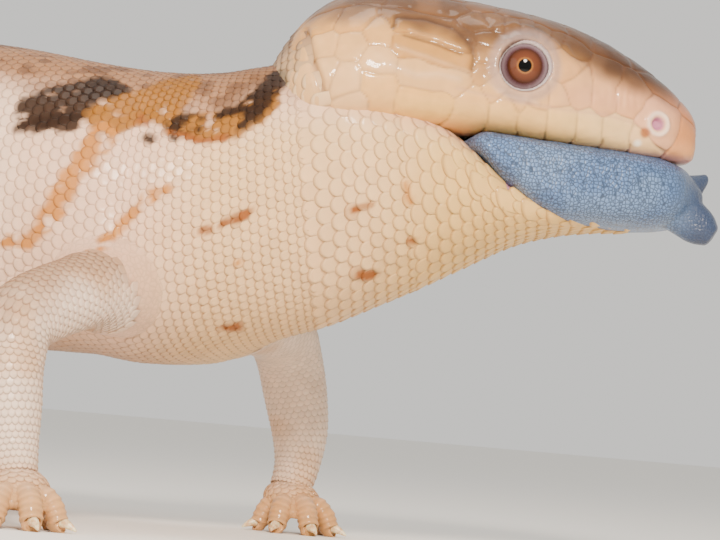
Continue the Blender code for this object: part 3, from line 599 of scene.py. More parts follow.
def make_piece(name, points, quads, triangles=(), colour=None, maps=None):
    """An object at the origin from points in millimetres, with its faces, point colours and maps."""
    mesh = bpy.data.meshes.new(name)
    triangles = np.asarray(triangles, int).reshape(-1, 3)
    placed = in_frame(points)
    placed[:, 2] = np.maximum(placed[:, 2], 0.0)
    corners = np.concatenate([quads.ravel(), triangles.ravel()])
    starts = np.concatenate([np.arange(len(quads)) * 4, len(quads) * 4 + np.arange(len(triangles)) * 3])
    mesh.vertices.add(len(placed))
    mesh.vertices.foreach_set("co", placed.ravel())
    mesh.loops.add(len(corners))
    mesh.loops.foreach_set("vertex_index", corners)
    mesh.polygons.add(len(starts))
    mesh.polygons.foreach_set("loop_start", starts)
    mesh.update(calc_edges=True)
    if colour is not None:
        paint(mesh, colour)
    for title, places in (maps or {}).items():
        mesh.uv_layers.new(name=title).data.foreach_set("uv", places[corners].ravel())
    mesh.shade_smooth()
    piece = bpy.data.objects.new(name, mesh)
    bpy.context.scene.collection.objects.link(piece)
    return piece


def with_ends(grid):
    """A grid's values in one list, followed by the mean of its first ring and of its last."""
    return np.concatenate([grid.reshape(-1, grid.shape[-1]), grid[:1].mean(1), grid[-1:].mean(1)])


def closed_loft(points):
    """Points and faces of a closed skin: the grid, and a fan of triangles to a middle point at each end."""
    rows, columns = points.shape[:2]
    ring = np.arange(columns)
    last = ring + (rows - 1) * columns
    ends = np.concatenate([
        np.stack([np.full(columns, rows * columns), ring, np.roll(ring, -1)], 1),
        np.stack([np.full(columns, rows * columns + 1), np.roll(last, -1), last], 1),
    ])
    return with_ends(points), grid_faces(rows, columns, True), ends


def joined(shells):
    """Closed lofts as one set of points, quads and triangles."""
    first = np.cumsum([0] + [len(points) for points, _, _ in shells[:-1]])
    faces = [np.concatenate([shell[k] + start for shell, start in zip(shells, first)]) for k in (1, 2)]
    return np.concatenate([points for points, _, _ in shells]), *faces


def pairs(across, up):
    """Two arrays that fill up each other's shape, as the pairs of a map."""
    return np.stack(np.broadcast_arrays(across, up), -1)


# %% [markdown]
# A scale is a thin plate whose front is tucked under the scale before it and whose round rear edge stands free.
# Real scales are folds of the skin, so each plate here is a small patch of the body's own surface, lifted more
# and more towards its rear, with a skirt that turns down to give it an edge. Modelling one and scattering copies
# would be simpler, but stiff copies don't follow the curve of a neck.

# %% Plates that follow a surface
SINK = 0.30  # how deep a scale's front lies under the one before it
SKIRT = 0.15  # how far the turned edge reaches under the skin
BAKE_CELL = 0.0028  # side of a scale's own square in the map that bakes are drawn on


def chance(front, middle, per_row, per_turn, seed):
    """A number from 0 to 1 for each scale, from where it is rooted."""
    cell = np.stack([front * per_row, middle * per_turn, 0 * front], -1).astype(np.int64)
    return scramble(cell, seed)


def plates(name, surface, scales, colour_of, shape, calm=1.0):
    """Joined plates: row = front + v * (rear - front), turn = middle + u * half, raised along the normal.

    v is cut back to v * (1 - cut * |u|^2.6) for the round rear, and the height is
    -SINK + (SINK + lift) * v^0.75 + dome * (1 - u^2) * v, with the skirt dropped by lift + SKIRT.
    shape is the points across and along, then lift, dome, how light the edge stays, and cut.
    calm flattens single scales.
    """
    front, rear, middle, half = scales
    across, along, lift, dome, edge, cut = shape
    calm = np.broadcast_to(calm, front.shape)
    u = np.r_[-1.04, np.linspace(-1, 1, across), 1.04]
    v = np.r_[np.linspace(0, 1, along), 1.03]
    u, v = np.meshgrid(u, v)
    skirt = (np.abs(u) > 1) | (v > 1)
    rise = np.clip(v, 0, 1) ** 0.75
    height = (SINK + lift) * rise + dome * (1 - np.clip(u, -1, 1) ** 2) * np.clip(v, 0, 1)
    height = np.where(skirt, np.minimum(height, lift) - lift - SKIRT + SINK, height)
    reach = v * (1 - cut * np.clip(np.abs(u), 0, 1) ** 2.6)
    row = front[:, None, None] + reach * (rear - front)[:, None, None]
    turn = middle[:, None, None] + u * half[:, None, None]
    points, normal = at(surface, row, turn)
    unlike = chance(front, middle, 10, 1000, 5)
    flat = SINK * rise
    height = flat + (height - flat) * (calm * (0.85 + 0.3 * unlike))[:, None, None] - SINK
    points = points + normal * height[..., None]
    roots, root_normals = at(surface, 0.6 * rear + 0.4 * front, middle)
    colour = 0.3 * colour_of(roots, root_normals, middle)[:, None, None]
    colour = colour + 0.7 * colour_of(points, normal, turn)
    jitter = chance(front, middle, 7, 900, 11) - 0.5
    # Painted shade: the turned-down edge keeps only the edge share of its colour, the front tucked under the scale
    # before is a little darker than the raised rear, and calm scales get less of it.
    shade = np.where(skirt, edge, 0.95 + 0.06 * np.clip(v, 0, 1))
    shade = 1 + (shade - 1) * (0.4 + 0.6 * calm)[:, None, None]
    painted = colour * (shade * (1 + 0.10 * jitter)[:, None, None])[..., None]
    faces = grid_faces(*u.shape, False)
    quads = (faces[None] + (np.arange(len(front)) * u.size)[:, None, None]).reshape(-1, 4)
    local = np.broadcast_to(pairs(u * 0.48 + 0.5, np.clip(v, 0, 1) * 0.96 + 0.02), points.shape[:3] + (2,))
    rooted = (front - front.min()) / (np.ptp(front) + 1e-6)
    within = pairs(v - 0.5, u * 0.5)[None] * BAKE_CELL
    bake = 0.03 + 0.94 * pairs(rooted, middle % 1.0)[:, None, None] + within
    maps = {"Plate": local.reshape(-1, 2), "OFBake": bake.reshape(-1, 2)}
    piece = make_piece(name, points.reshape(-1, 3), quads, (), painted.reshape(-1, 3), maps)
    print(name, len(front), "scales", 2 * len(quads), "triangles")
    return piece


TUCKED, SHOWN = 0.75, 1.12  # how far a scale reaches before and behind its ring, as shares of the exposure


def rings_of_scales(surface, first, last, exposure, around, width=1.08):
    """Scales in rings: a new ring every exposure millimetres, each turned by half a scale from the one before."""
    steps = np.linalg.norm(np.diff(surface[0], axis=0), axis=2).mean(1)
    distance = np.r_[0, np.cumsum(steps)]
    rows = np.arange(len(distance))
    start, end = np.interp([first, last], rows, distance)
    rings = np.arange(start, end, exposure)
    number = np.repeat(np.arange(len(rings)), around)
    middle = (np.tile(np.arange(around), len(rings)) + 0.5 * (number % 2)) / around
    front = np.interp(rings - TUCKED * exposure, distance, rows)[number]
    rear = np.interp(rings + SHOWN * exposure, distance, rows)[number]
    return np.array([front, rear, middle, np.full(len(number), 0.5 * width / around)])


# %% [markdown]
# Scales that would lie inside a leg, inside the head or inside the mouth are left out before they are made.

# %% Coat of the trunk and tail
LEG_MARGIN = 1.0  # the trunk's scales end this far outside a leg's tube
LIP_EDGE = ((8.0, 90.0), (12.0, 68.0), (17.0, 62.6), (22.0, 57.6), (30.0, 53.9), (37.0, 53.2), (44.0, 53.6))


def at_station(name):
    """The row of the trunk's grid at a named station."""
    return PER_STATION * station(TRUNK, name)


def outside(scales, surface, others, least=-0.6):
    """The scales whose middle is at least so far outside each other form, and how calm each of them lies."""
    points, _ = at(surface, 0.5 * (scales[0] + scales[1]), scales[2])
    gap = np.min([other(points) for other in others], axis=0)
    keep = gap > least
    return scales[:, keep], smooth(0.5, 9.0, gap[keep])


def gap_to_skull(points):
    """Signed distance from points to the skull's surface."""
    return gap_to_grid(points, skull, (4, 6))


def below_lips(points):
    """Positive below the row of shields that edges the lower jaw, negative on the mouth's floor."""
    return 9.0 * np.sign(np.interp(points[:, 0], *np.transpose(LIP_EDGE)) - points[:, 2])


def gap_to_palm(points, name):
    """Signed distance to a palm's egg, as its radius there less one, times its thickness."""
    x, y, high, heading, half_length, half_width, _, _ = PALMS[name]
    turn = math.radians(heading)
    dx, dy = points[:, 0] - x, points[:, 1] - y
    along = (dx * math.cos(turn) + dy * math.sin(turn)) / half_length
    across = (dy * math.cos(turn) - dx * math.sin(turn)) / half_width
    up = (points[:, 2] - high + 0.2) / PALM_DEPTH
    return (np.sqrt(along**2 + across**2 + up**2) - 1) * PALM_DEPTH


leg_gaps = [lambda points, rows=rows: gap_to_leg(points, rows) - LEG_MARGIN for rows in LEGS.values()]
BANDS = {  # first and last station, exposure, scales round the ring, then the plate's shape
    "jaw_scales": ("chin", "jaw angle", 2.1, 32, (7, 6, 0.15, 0.09, 0.90, 0.28)),
    "throat_scales": ("jaw angle", "nape", 1.9, 48, (7, 6, 0.16, 0.04, 0.88, 0.28)),
    "neck_scales": ("nape", "shoulder", 1.18, 84, (6, 5, 0.14, 0.02, 0.90, 0.22)),
    "chest_scales": ("shoulder", "ribs front", 1.4, 76, (6, 5, 0.09, 0.015, 0.95, 0.24)),
    "ribs_scales": ("ribs front", "belly", 2.5, 54, (6, 5, 0.09, 0.015, 0.95, 0.26)),
    "belly_scales": ("belly", "loin", 2.7, 50, (5, 4, 0.18, 0.06, 0.76, 0.26)),
    "hip_scales": ("loin", "vent", 2.6, 42, (5, 4, 0.18, 0.06, 0.76, 0.26)),
    "tail_root_scales": ("vent", "tail 1", 2.5, 30, (5, 4, 0.20, 0.08, 0.76, 0.28)),
    "tail_middle_scales": ("tail 1", "tail 3", 2.4, 22, (5, 4, 0.20, 0.08, 0.76, 0.28)),
    "tail_rear_scales": ("tail 3", "tail 5", 2.1, 14, (5, 4, 0.20, 0.08, 0.76, 0.28)),
    "tail_tip_scales": ("tail 5", "tail end", 1.8, 9, (5, 4, 0.16, 0.06, 0.76, 0.28)),
}
coat = []
for name, (first, last, exposure, around, shape) in BANDS.items():
    scales = rings_of_scales(trunk, at_station(first), at_station(last), exposure, around)
    near_head = at_station(first) < at_station("neck root")
    others = leg_gaps + ([gap_to_skull] if near_head else []) + ([below_lips] if name == "jaw_scales" else [])
    kept, calm = outside(scales, trunk, others)
    coat.append(plates(name, trunk, kept, trunk_colour, shape, calm))

# %% [markdown]
# Legs wear smaller scales than the body, in rings like the body's, and the palms are covered in granules.
# The same two functions lay them, so only the counts and the flatter shape differ.

# %% Coat of the legs and palms
LEG_OUT = 4.0  # a leg's own scales begin this far outside the trunk
PALM_OVERLAP = 5.0  # and run on into the palm, to this depth less LEG_OUT
for name, leg in legs.items():
    scales = rings_of_scales(leg, 2, LEG_ROWS - 2, 1.08, 27)
    others = [gap_to_trunk, lambda points: gap_to_palm(points, name) + PALM_OVERLAP]
    kept, calm = outside(scales, leg, others, LEG_OUT)
    shape = (5, 4, 0.06, 0.02, 0.95, 0.24)
    coat.append(plates(name + "_scales", leg, kept, leg_colour, shape, 0.3 + 0.7 * calm))
for name, surface in palms.items():
    scales = rings_of_scales(surface, 1.5, 23.5, 1.15, 15)
    coat.append(plates(name + "_palm_scales", surface, scales, leg_colour, (5, 4, 0.08, 0.04, 0.85, 0.25)))

# %% [markdown]
# Along its edge the lower jaw carries one row of large yellow shields, each as long as two rows of scales.

# %% Lower lip
LIP_DROP, LIP_HALF = 1.25, 1.75  # how far under the jaw's widest line the row runs, and half its height
lip_rows = np.linspace(at_station("chin") - 5, at_station("mouth corner") + 3, 10)
middle_rows = 0.5 * (lip_rows[:-1] + lip_rows[1:])
grid_rows = np.arange(len(trunk_points))
around = np.linalg.norm(np.diff(trunk_points, axis=1), axis=2).sum(1)
lip_plates = []
for side in (1, -1):
    widest = np.array([np.argmax(side * ring[:, 1]) for ring in trunk_points]) / trunk_points.shape[1]
    middle = np.interp(middle_rows, grid_rows, widest - side * LIP_DROP / around)
    half = np.interp(middle_rows, grid_rows, LIP_HALF / around)
    lip_plates.append(np.array([lip_rows[:-1] - 1.0, lip_rows[1:] + 1.6, middle, half]))
lip_shape = (11, 11, 0.22, 0.12, 0.86, 0.12)
coat.append(plates("lower_lip_shields", trunk, np.concatenate(lip_plates, 1), trunk_colour, lip_shape))

# %% [markdown]
# The head is not covered by rings of scales but by large shields that meet edge to edge.
# Each shield is the region nearest to its own short line on the skull, so a groove runs where two are equally near.
# Drawing the borders by hand would take hundreds of points, and this takes a short line for each shield.

# %% Shields of the head
SIDE_SHIELDS = {  # colour, size, then x and z of points along its line, seen from the side
    "rostral side": ("#dda679", 0.4, (50.4, 68.8), (49.7, 66.8)),
    "nasal": ("#e2b596", 1.5, (44.3, 70.2)),
    "labial 1": ("#e6c79c", 0.3, (42.0, 67.4), (42.3, 66.0)),
    "labial 2": ("#e7cb9d", 0.4, (38.1, 68.4), (38.2, 66.0)),
    "labial 3": ("#e8cda0", 0.4, (33.4, 68.8), (33.5, 66.2)),
    "labial 4": ("#e8cda0", 0.4, (28.9, 69.0), (29.0, 66.2)),
    "labial 5": ("#e8cca4", 0.4, (24.8, 69.2), (24.9, 66.2)),
    "labial 6": ("#e8cca4", 0.5, (20.2, 69.8), (20.3, 66.4)),
    "labial 7": ("#e8c9a0", 0.6, (15.0, 70.3), (15.0, 66.6)),
    "labial 8": ("#e9c88f", 0.7, (5.6, 68.8), (9.4, 69.0)),
    "labial 9": ("#e9c99a", 0.3, (0.5, 71.2), (0.9, 67.2)),
    "ear shield 1": ("#ebd7bd", 0.2, (-3.0, 68.0), (-3.0, 66.0)),
    "loreal 1": ("#d9ab84", 0.2, (39.4, 72.4), (39.8, 74.8)),
    "loreal 2": ("#dcb08a", 0.3, (35.4, 72.8), (35.8, 76.2)),
    "loreal 3": ("#dcb390", 0.2, (31.6, 73.0), (31.9, 75.2)),
    "preocular": ("#d3ab88", 0.1, (29.8, 77.0), (29.0, 78.8)),
    "subocular 1": ("#e0bd9c", 0.0, (28.2, 71.8)),
    "subocular 2": ("#e0bf9f", 0.0, (25.2, 70.9)),
    "subocular 3": ("#dfbf9f", 0.0, (21.6, 71.0)),
    "subocular 4": ("#dcbd9e", 0.0, (18.2, 72.2)),
    "postocular 1": ("#c9a98a", 0.0, (16.2, 74.8)),
    "postocular 2": ("#b8936f", 0.0, (15.9, 77.6)),
    "postocular 3": ("#b0895f", 0.0, (16.6, 80.4)),
    "temporal low": ("#8f6f52", 0.5, (4.0, 78.4), (8.6, 77.2), (13.2, 75.9)),
    "temporal high": ("#876749", 0.5, (4.0, 81.1), (8.0, 80.8), (12.4, 79.3)),
    "temple low": ("#dcc3a4", 0.7, (6.0, 73.6), (12.4, 72.9)),
    "temple a": ("#dcc4a6", 0.4, (-4.7, 77.2)),
    "temple b": ("#c9ab8a", 0.4, (0.1, 79.0)),
    "temple c": ("#e0cbb0", 0.4, (0.0, 75.0)),
    "temple d": ("#e6d3b9", 0.4, (-4.4, 71.6)),
    "temple e": ("#dbc3a6", 0.2, (-8.6, 77.0)),
    "temple f": ("#e2ceb4", 0.2, (-8.2, 72.6)),
    "temple g": ("#c0a081", 0.3, (-4.6, 81.4)),
    "temple h": ("#b89674", 0.3, (-9.0, 80.6)),
}
BROW = ((15.6, 82.7), (18.0, 83.2), (20.4, 83.3), (22.8, 83.1), (25.2, 82.5), (27.4, 81.5), (29.4, 80.2))
for k, place in enumerate(BROW):
    SIDE_SHIELDS["brow %d" % (k + 1)] = ("#a9835c", 0.0, place)
TOP_SHIELDS = {  # the same with x and y, seen from above
    "rostral": ("#d99f70", 0.6, (50.6, 0.0), (50.2, 2.6)),
    "supranasal": ("#cf9667", 0.4, (46.4, 3.2), (44.6, 5.2)),
    "frontonasal": ("#c69064", 0.9, (41.8, 0.0), (41.6, 2.4)),
    "prefrontal": ("#bd8a60", 0.8, (36.6, 3.8), (36.0, 5.6)),
    "frontal": ("#ab7f57", 1.3, (31.0, 0.0), (27.0, 0.0), (22.4, 0.0)),
    "supraocular 1": ("#ae8259", 0.4, (31.0, 7.0)),
    "supraocular 2": ("#a97e56", 0.6, (26.4, 7.6), (25.6, 9.0)),
    "supraocular 3": ("#a67b54", 0.6, (21.0, 8.0), (20.6, 9.8)),
    "supraocular 4": ("#a07650", 0.3, (16.2, 8.8)),
    "frontoparietal": ("#a1784f", 0.5, (14.8, 3.0)),
    "interparietal": ("#9c744f", 0.7, (8.8, 0.0), (6.4, 0.0)),
    "parietal": ("#9e7752", 1.0, (9.6, 6.2), (3.8, 5.6)),
    "parietal side": ("#97704c", 0.4, (9.6, 11.6), (4.6, 12.0)),
    "nuchal 1": ("#a47e58", 0.5, (-1.8, 2.6), (-2.0, 5.4)),
    "nuchal 2": ("#a9845e", 0.5, (-6.2, 2.6), (-6.2, 5.2)),
    "nuchal side 1": ("#a47e58", 0.4, (-1.6, 10.4)),
    "nuchal side 2": ("#ad8a66", 0.3, (-6.4, 10.0)),
}


def shield_lines(dense, normal):
    """Points along every shield's line, laid on the skull: names, colours, sizes, points and first numbers."""
    flat, facing = dense.reshape(-1, 3), normal.reshape(-1, 3)
    left = flat[:, 1] >= -0.05
    lines, starts, colours, sizes = [], [], [], []
    for table, axes, look in ((SIDE_SHIELDS, (0, 2), 1), (TOP_SHIELDS, (0, 1), 2)):
        pool = flat[left & (facing[:, look] > 0.12)]
        for colour, size, *places in table.values():
            t = np.linspace(0, len(places) - 1, 1 + 5 * (len(places) - 1))
            fine = np.stack([np.interp(t, np.arange(len(places)), axis) for axis in np.transpose(places)], 1)
            found = np.argmin(((fine[:, None] - pool[None][:, :, axes]) ** 2).sum(2), axis=1)
            starts.append(sum(map(len, lines)))
            lines.append(pool[found])
            colours.append(linear(colour))
            sizes.append(size)
    return np.concatenate(lines), np.array(starts), np.array(colours), np.array(sizes)


def folded_over(points):
    """Points with the right side laid on the left: y becomes |y|."""
    return points * np.array([1, 0, 1]) + np.abs(points[..., 1:2]) * np.array([0, 1, 0])


HEAD_ROWS, HEAD_COLUMNS = 262, 372
UNDERSIDE = 30  # of the columns, as the mouth's roof shows nothing
head_rows = np.linspace(0, station(SKULL, "head back"), HEAD_ROWS)[:, None] * PER_STATION
edges = [0, UNDERSIDE / 2, HEAD_COLUMNS - UNDERSIDE / 2, HEAD_COLUMNS]
spread = np.interp(np.arange(HEAD_COLUMNS), edges, [0, 0.14, 0.86, 1.0])[None]
head_points, head_normals = at(skull, *np.broadcast_arrays(head_rows, spread))
folded = folded_over(head_points)
lines, starts, shield_colours, shield_sizes = shield_lines(skull_points, skull[1])
print("shields", len(starts), "on a head of", head_points.shape[:2])


# %% [markdown]
# Shields are thin horn over bone, a little domed, with a groove where two meet. Modelling each one would be slow,
# so the head is one fine grid that is moved along its normals by a height, the relief.
# Folds of the face are strokes with a height of their own, seen from the side.

# %% Grooves and folds
def shield_fields(points):
    """The nearest shield, and half the lead it has over the next one."""
    nearest, lead = [], []
    for part in np.array_split(points.reshape(-1, 3).astype(np.float32), 40):  # in parts, to spare memory
        gaps = np.linalg.norm(part[:, None] - lines[None].astype(np.float32), axis=2)
        gaps = np.minimum.reduceat(gaps, starts, axis=1) - shield_sizes[None]
        two = np.partition(gaps, 1, axis=1)[:, :2]
        nearest.append(np.argmin(gaps, axis=1))
        lead.append((two[:, 1] - two[:, 0]) / 2)
    return [np.concatenate(field).reshape(points.shape[:-1]) for field in (nearest, lead)]


FOLDS = {  # height, half width, colour, its share, then x and z along the fold, seen from the side
    "brow ridge": (0.40, 0.55, "#c49a70", 0.0, (17.4, 82.0), (20.4, 82.9), (23.4, 82.5), (26.2, 81.2),
                   (28.6, 79.4), (31.0, 77.2)),
    "before the eye": (0.22, 0.40, "#c49a70", 0.0, (28.8, 80.6), (30.4, 78.6), (32.6, 77.4)),
    "under the eye": (0.26, 0.45, "#ecd2b4", 0.2, (16.8, 74.0), (18.6, 72.3), (21.4, 71.3), (25.0, 71.0)),
    "lower lid fold": (-0.20, 0.40, "#b98f78", 0.3, (17.6, 73.4), (19.6, 71.9), (22.6, 71.4)),
    # The paler colour on both temporal rims is a painted highlight along their glossy lower edges.
    "upper temporal rim": (0.26, 0.42, "#c79d72", 0.2, (4.6, 80.1), (8.6, 79.4), (12.9, 78.2)),
    "lower temporal rim": (0.30, 0.48, "#d9b48c", 0.3, (2.4, 77.3), (8.0, 76.0), (14.0, 74.6)),
    "upper temporal edge": (-0.22, 0.36, "#4a3222", 0.75, (1.9, 80.6), (2.2, 82.3), (6.6, 82.6),
                            (11.0, 81.6), (13.8, 79.4)),
    "temporal end": (-0.18, 0.40, "#4a3222", 0.65, (13.6, 79.6), (14.6, 77.4), (14.4, 75.2)),
    "between temporals": (-0.20, 0.30, "#4f3726", 0.60, (3.6, 79.4), (8.0, 78.7), (12.6, 77.4)),
    "cheek fold": (0.20, 0.60, "#ecd2b4", 0.2, (2.0, 74.4), (6.0, 73.2), (9.4, 73.8), (12.6, 73.4)),
    # The rear fold's dark colour is painted shade in the crease where the head overlaps the neck.
    "rear fold": (-0.60, 0.50, "#8f6c54", 0.60, (-11.6, 79.4), (-10.2, 74.4), (-8.8, 71.4), (-7.8, 68.6),
                  (-7.0, 65.0)),
    "rear fold lip": (0.35, 0.80, "#ecd8c2", 0.0, (-10.2, 79.0), (-8.8, 74.6), (-7.4, 71.6)),
    "lip line": (0.10, 0.40, "#d8a08c", 0.35, (-4.0, 66.6), (4.0, 65.6), (12.0, 65.7), (15.0, 65.9)),
    "groove over the lip": (-0.12, 0.30, "#c69678", 0.40, (12.4, 72.0), (20.0, 71.0), (28.4, 70.6),
                            (36.0, 70.6), (40.4, 69.9)),
    "dark wedge": (0.0, 2.3, "#6b4a31", 0.55, (14.6, 79.6), (16.0, 77.4), (16.4, 75.4)),
}


# %% [markdown]
# The relief is a sum of heights in millimetres: dome and groove of each shield, fine unevenness, wrinkles on the
# snout, then the eye, the nostril, the ear opening and the folds.

# %% Relief of the head
wavy = folded + 0.35 * np.stack([noise(folded, 2.2, seed) for seed in (31, 32, 33)], -1)
shield, lead = shield_fields(wavy)
groove = np.exp(-((lead / 0.15) ** 2))
relief = 0.11 * (1 - np.exp(-lead / 0.8)) - 0.15 * groove
relief += 0.05 * noise(head_points, 1.5, 34) + 0.02 * noise(head_points, 0.5, 35)
head_x, head_y, head_z = np.moveaxis(folded, -1, 0)
on_side = smooth(5.0, 9.0, head_y)
wrinkled = np.exp(-(((head_x - 38.4) / 3.2) ** 2) - ((head_z - 73.4) / 1.7) ** 2)
relief += 0.09 * np.sin(head_x * 5.2 + 1.2 * noise(folded, 2.0, 37)) * wrinkled

# The eye: granules round it, a raised rim, and an opening that the ball shows through.
by_eye = head_y > 10  # far enough from the middle line to be the eye's side, not the roof of the head
eye_ring = np.linalg.norm((folded - EYE_CENTRE)[..., [0, 2]], axis=-1)
beside_eye = smooth(6.4, 5.0, eye_ring) * by_eye
granules = 0.5 - cells(folded, 0.8, 36)
relief = relief * (1 - beside_eye) + beside_eye * (0.10 + 0.24 * granules)
relief += 0.35 * np.exp(-(((eye_ring - 4.5) / 0.7) ** 2)) * by_eye

# The nostril and the ear opening.
from_nostril = np.linalg.norm(folded - NOSTRIL, axis=-1)
relief += 0.30 * np.exp(-(((from_nostril - 1.75) / 0.40) ** 2)) - 1.0 * smooth(1.15, 0.70, from_nostril)
from_ear = folded - EAR
in_ear = np.exp(-((from_ear[..., 0] / 0.55) ** 2) - (from_ear[..., 2] / 1.9) ** 2)
relief -= 1.6 * in_ear * (head_y > 15)

# Each fold's colour: real outlines, with painted shade in the rear fold and painted highlights on the temporal rims.
fold_colour_and_painted_light = []
for height, half, code, share, *places in FOLDS.values():
    over = np.exp(-((from_line(head_x, head_z, places) / half) ** 2)) * on_side
    relief += height * over * smooth(4.2, 5.2, eye_ring)
    fold_colour_and_painted_light.append((code, share * over))
relief -= 3.2 * smooth(4.05, 3.65, eye_ring) * by_eye
scallop = smooth(67.4, 65.6, head_z) * groove  # the lip's lower edge rises between two shields
head_surface = head_points + head_normals * relief[..., None] + np.array([0, 0, 0.30]) * scallop[..., None]
print("relief from %.2f to %.2f mm" % (relief.min(), relief.max()))

# %% [markdown]
# Each shield has a colour of its own, and over it lie the brown of the crown, ochre on the lower cheek, pink at the
# lips and round the nostril, dark lines in the grooves, painted shade in the fold behind the head and painted
# highlights on the temporal rims. They are layers, each with a share for every point.

# %% Colours of the head
CHEEK_SPOTS = (("#97511f", (42.4, 10.4, 68.5), 1.15, 0.45), ("#f6ecd6", (41.5, 10.7, 66.6), 1.05, 0.35))
height_on_head = head_z + 1.4 * noise(head_points, 5.0, 43) + 0.6 * noise(head_points, 2.0, 44)
brown_x, brown_z = (-12, 4, 14, 24, 34, 44, 51), (81.0, 81.0, 79.4, 80.8, 77.4, 74.4, 71.2)
slope = np.interp(head_x, brown_x, brown_z)  # the lower border of the brown top, seen from the side
top_brown = smooth(-1.5, 2.5, height_on_head - slope)
near_mouth = smooth(66.3, 65.0, head_points[..., 2]) * (head_normals[..., 2] < 0.1)
head_paint = layered(
    shield_colours[shield] ** 1.3 * 1.04,  # the shields' own colours, a little deeper
    ("#e2a24e", 0.50 * (1 - top_brown) * smooth(38.0, 22.0, head_x) + 0.15 * (1 - top_brown)),
    ("#6d4a2e", 0.72 * top_brown),
    ("#3d2615", 0.5 * top_brown * smooth(-0.1, 0.5, noise(head_points, 3.4, 45))),
    ("#3a2415", smooth(8.0, 42.0, head_x) * smooth(-2.5, 2.5, head_z - slope) * 0.85),
    ("#b06a34", smooth(45.0, 49.0, head_x) * smooth(66.5, 69.0, head_z) * 0.5),
    ("#e2b964", smooth(71.0, 68.5, head_z) * smooth(42.0, 30.0, head_x) * smooth(0.0, 8.0, head_x) * 0.35),
    ("#dd9c7c", np.exp(-(((head_z - 73.0) / 2.0) ** 2)) * smooth(24.0, 32.0, head_x) * 0.35),
    ("#5f3c22", groove * (0.30 + 0.34 * top_brown)),
    *fold_colour_and_painted_light,
    ("#d39aa0", near_mouth * 0.6),
    ("#a08c88", beside_eye * 0.55),
    ("#4d3634", smooth(4.2, 3.8, eye_ring) * by_eye),
    ("#f2d9c2", np.exp(-(((from_nostril - 1.6) / 0.35) ** 2)) * 0.8),
    ("#b97a92", smooth(1.3, 0.9, from_nostril)),
    *((code, smooth(outer, inner, np.linalg.norm(folded - middle, axis=-1)) * 0.85)
      for code, middle, outer, inner in CHEEK_SPOTS),
    ("#4b3a35", smooth(0.35, 0.9, in_ear)),
)
head_paint *= (1 + 0.05 * noise(head_points, 3.0, 41) + 0.04 * noise(head_points, 0.9, 42))[..., None]
head_map = 0.02 + 0.96 * pairs(np.arange(HEAD_ROWS)[:, None] / HEAD_ROWS, spread)
flat, quads, ends = closed_loft(head_surface)
head_maps = {"OFBake": with_ends(head_map)}
head_piece = make_piece("head_shields", flat, quads, ends, with_ends(head_paint), head_maps)
print("head", 2 * len(quads) + len(ends), "triangles")

# %% [markdown]
# Behind the shields the head goes on in small scales, up to the fold where it moves on the neck.

# %% Scales at the back of the head
CREASE = ((64.0, -7.0), (68.6, -7.8), (71.4, -8.8), (74.4, -10.2), (79.4, -11.6), (84.0, -12.0))  # z and x


def nape_colour(points, normal, turn):
    """Colour of the small scales behind the head's shields: the trunk's, paler below and brown over the top."""
    brown = 0.7 * smooth(75.0, 80.0, points[..., 2])
    return layered(trunk_colour(points, normal, turn), ("#d9b98f", 0.35), ("#6d4a2e", brown))


nape_rings = rings_of_scales(skull, PER_STATION * 10.9, PER_STATION * 15, 1.9, 44)
roots = at(skull, 0.5 * (nape_rings[0] + nape_rings[1]), nape_rings[2])[0]
nape_rings = nape_rings[:, roots[:, 0] < np.interp(roots[:, 2], *np.transpose(CREASE)) - 0.4]
coat.append(plates("nape_scales", skull, nape_rings, nape_colour, (7, 6, 0.14, 0.05, 0.80, 0.18)))

# %% [markdown]
# Under the scales lies one skin for the whole animal. The lofts of trunk, skull, legs and feet are drawn in by the
# coat's depth and remeshed into one closed surface, so that no seam is left between them.

# %% One skin
COAT_DEPTH = 0.45  # the skin lies this far under the form that the scales follow
UNDER_SHIELDS = 1.1  # and this much deeper under the head's shields, so that no pit reaches it
SKIN_VOXEL = 1.1


def shrunk(surface, depth=COAT_DEPTH, step=(1, 1)):
    """A surface drawn in by a depth, as a closed loft of every so many rows and columns."""
    points, normal = surface
    return closed_loft((points - normal * depth)[:: step[0], :: step[1]])


def join_surface(piece, voxel):
    """Has the piece's overlapping parts remeshed into one closed surface."""
    remesh = piece.modifiers.new("one surface", "REMESH")
    remesh.mode = "VOXEL"
    remesh.voxel_size = voxel * MM


def baked(piece):
    """Applies the piece's modifiers and reads its points, in the tables' millimetres, and normals."""
    depsgraph = bpy.context.evaluated_depsgraph_get()
    mesh = bpy.data.meshes.new_from_object(piece.evaluated_get(depsgraph))
    piece.modifiers.clear()
    old, piece.data = piece.data, mesh
    bpy.data.meshes.remove(old)
    points, normals = np.empty((2, len(mesh.vertices) * 3))
    mesh.vertices.foreach_get("co", points)
    mesh.vertices.foreach_get("normal", normals)
    return points.reshape(-1, 3) / MM + ORIGIN, normals.reshape(-1, 3)


pitted = skull[0].copy()
pit = np.linalg.norm((folded_over(pitted) - EYE_CENTRE)[..., [0, 2]], axis=-1)
pitted -= skull[1] * (3.8 * smooth(4.9, 4.2, pit) * (np.abs(pitted[..., 1]) > 10))[..., None]
buried = COAT_DEPTH + UNDER_SHIELDS * smooth(-12.0, -8.0, skull[0][..., 0:1])
shells = [shrunk(trunk, step=(2, 2)), shrunk((pitted, skull[1]), buried, (2, 2))]
shells += [shrunk(leg, 0.35, (2, 2)) for leg in legs.values()]
shells += [shrunk(surface, 0.3, (1, 2)) for surface in palms.values()]
for name in PALMS:
    for flesh, _ in toe_lines(name):
        rings = tube(flesh, np.linspace(0, 4, 12), 12)
        shells.append(shrunk((rings, normals_of(rings)), 0.25))
skin = make_piece("skin", *joined(shells))
join_surface(skin, SKIN_VOXEL)
places, _ = baked(skin)

# %% [markdown]
# Where a leg leaves the body the joined surface has a crease. It is smoothed there into the soft fold of a shoulder.

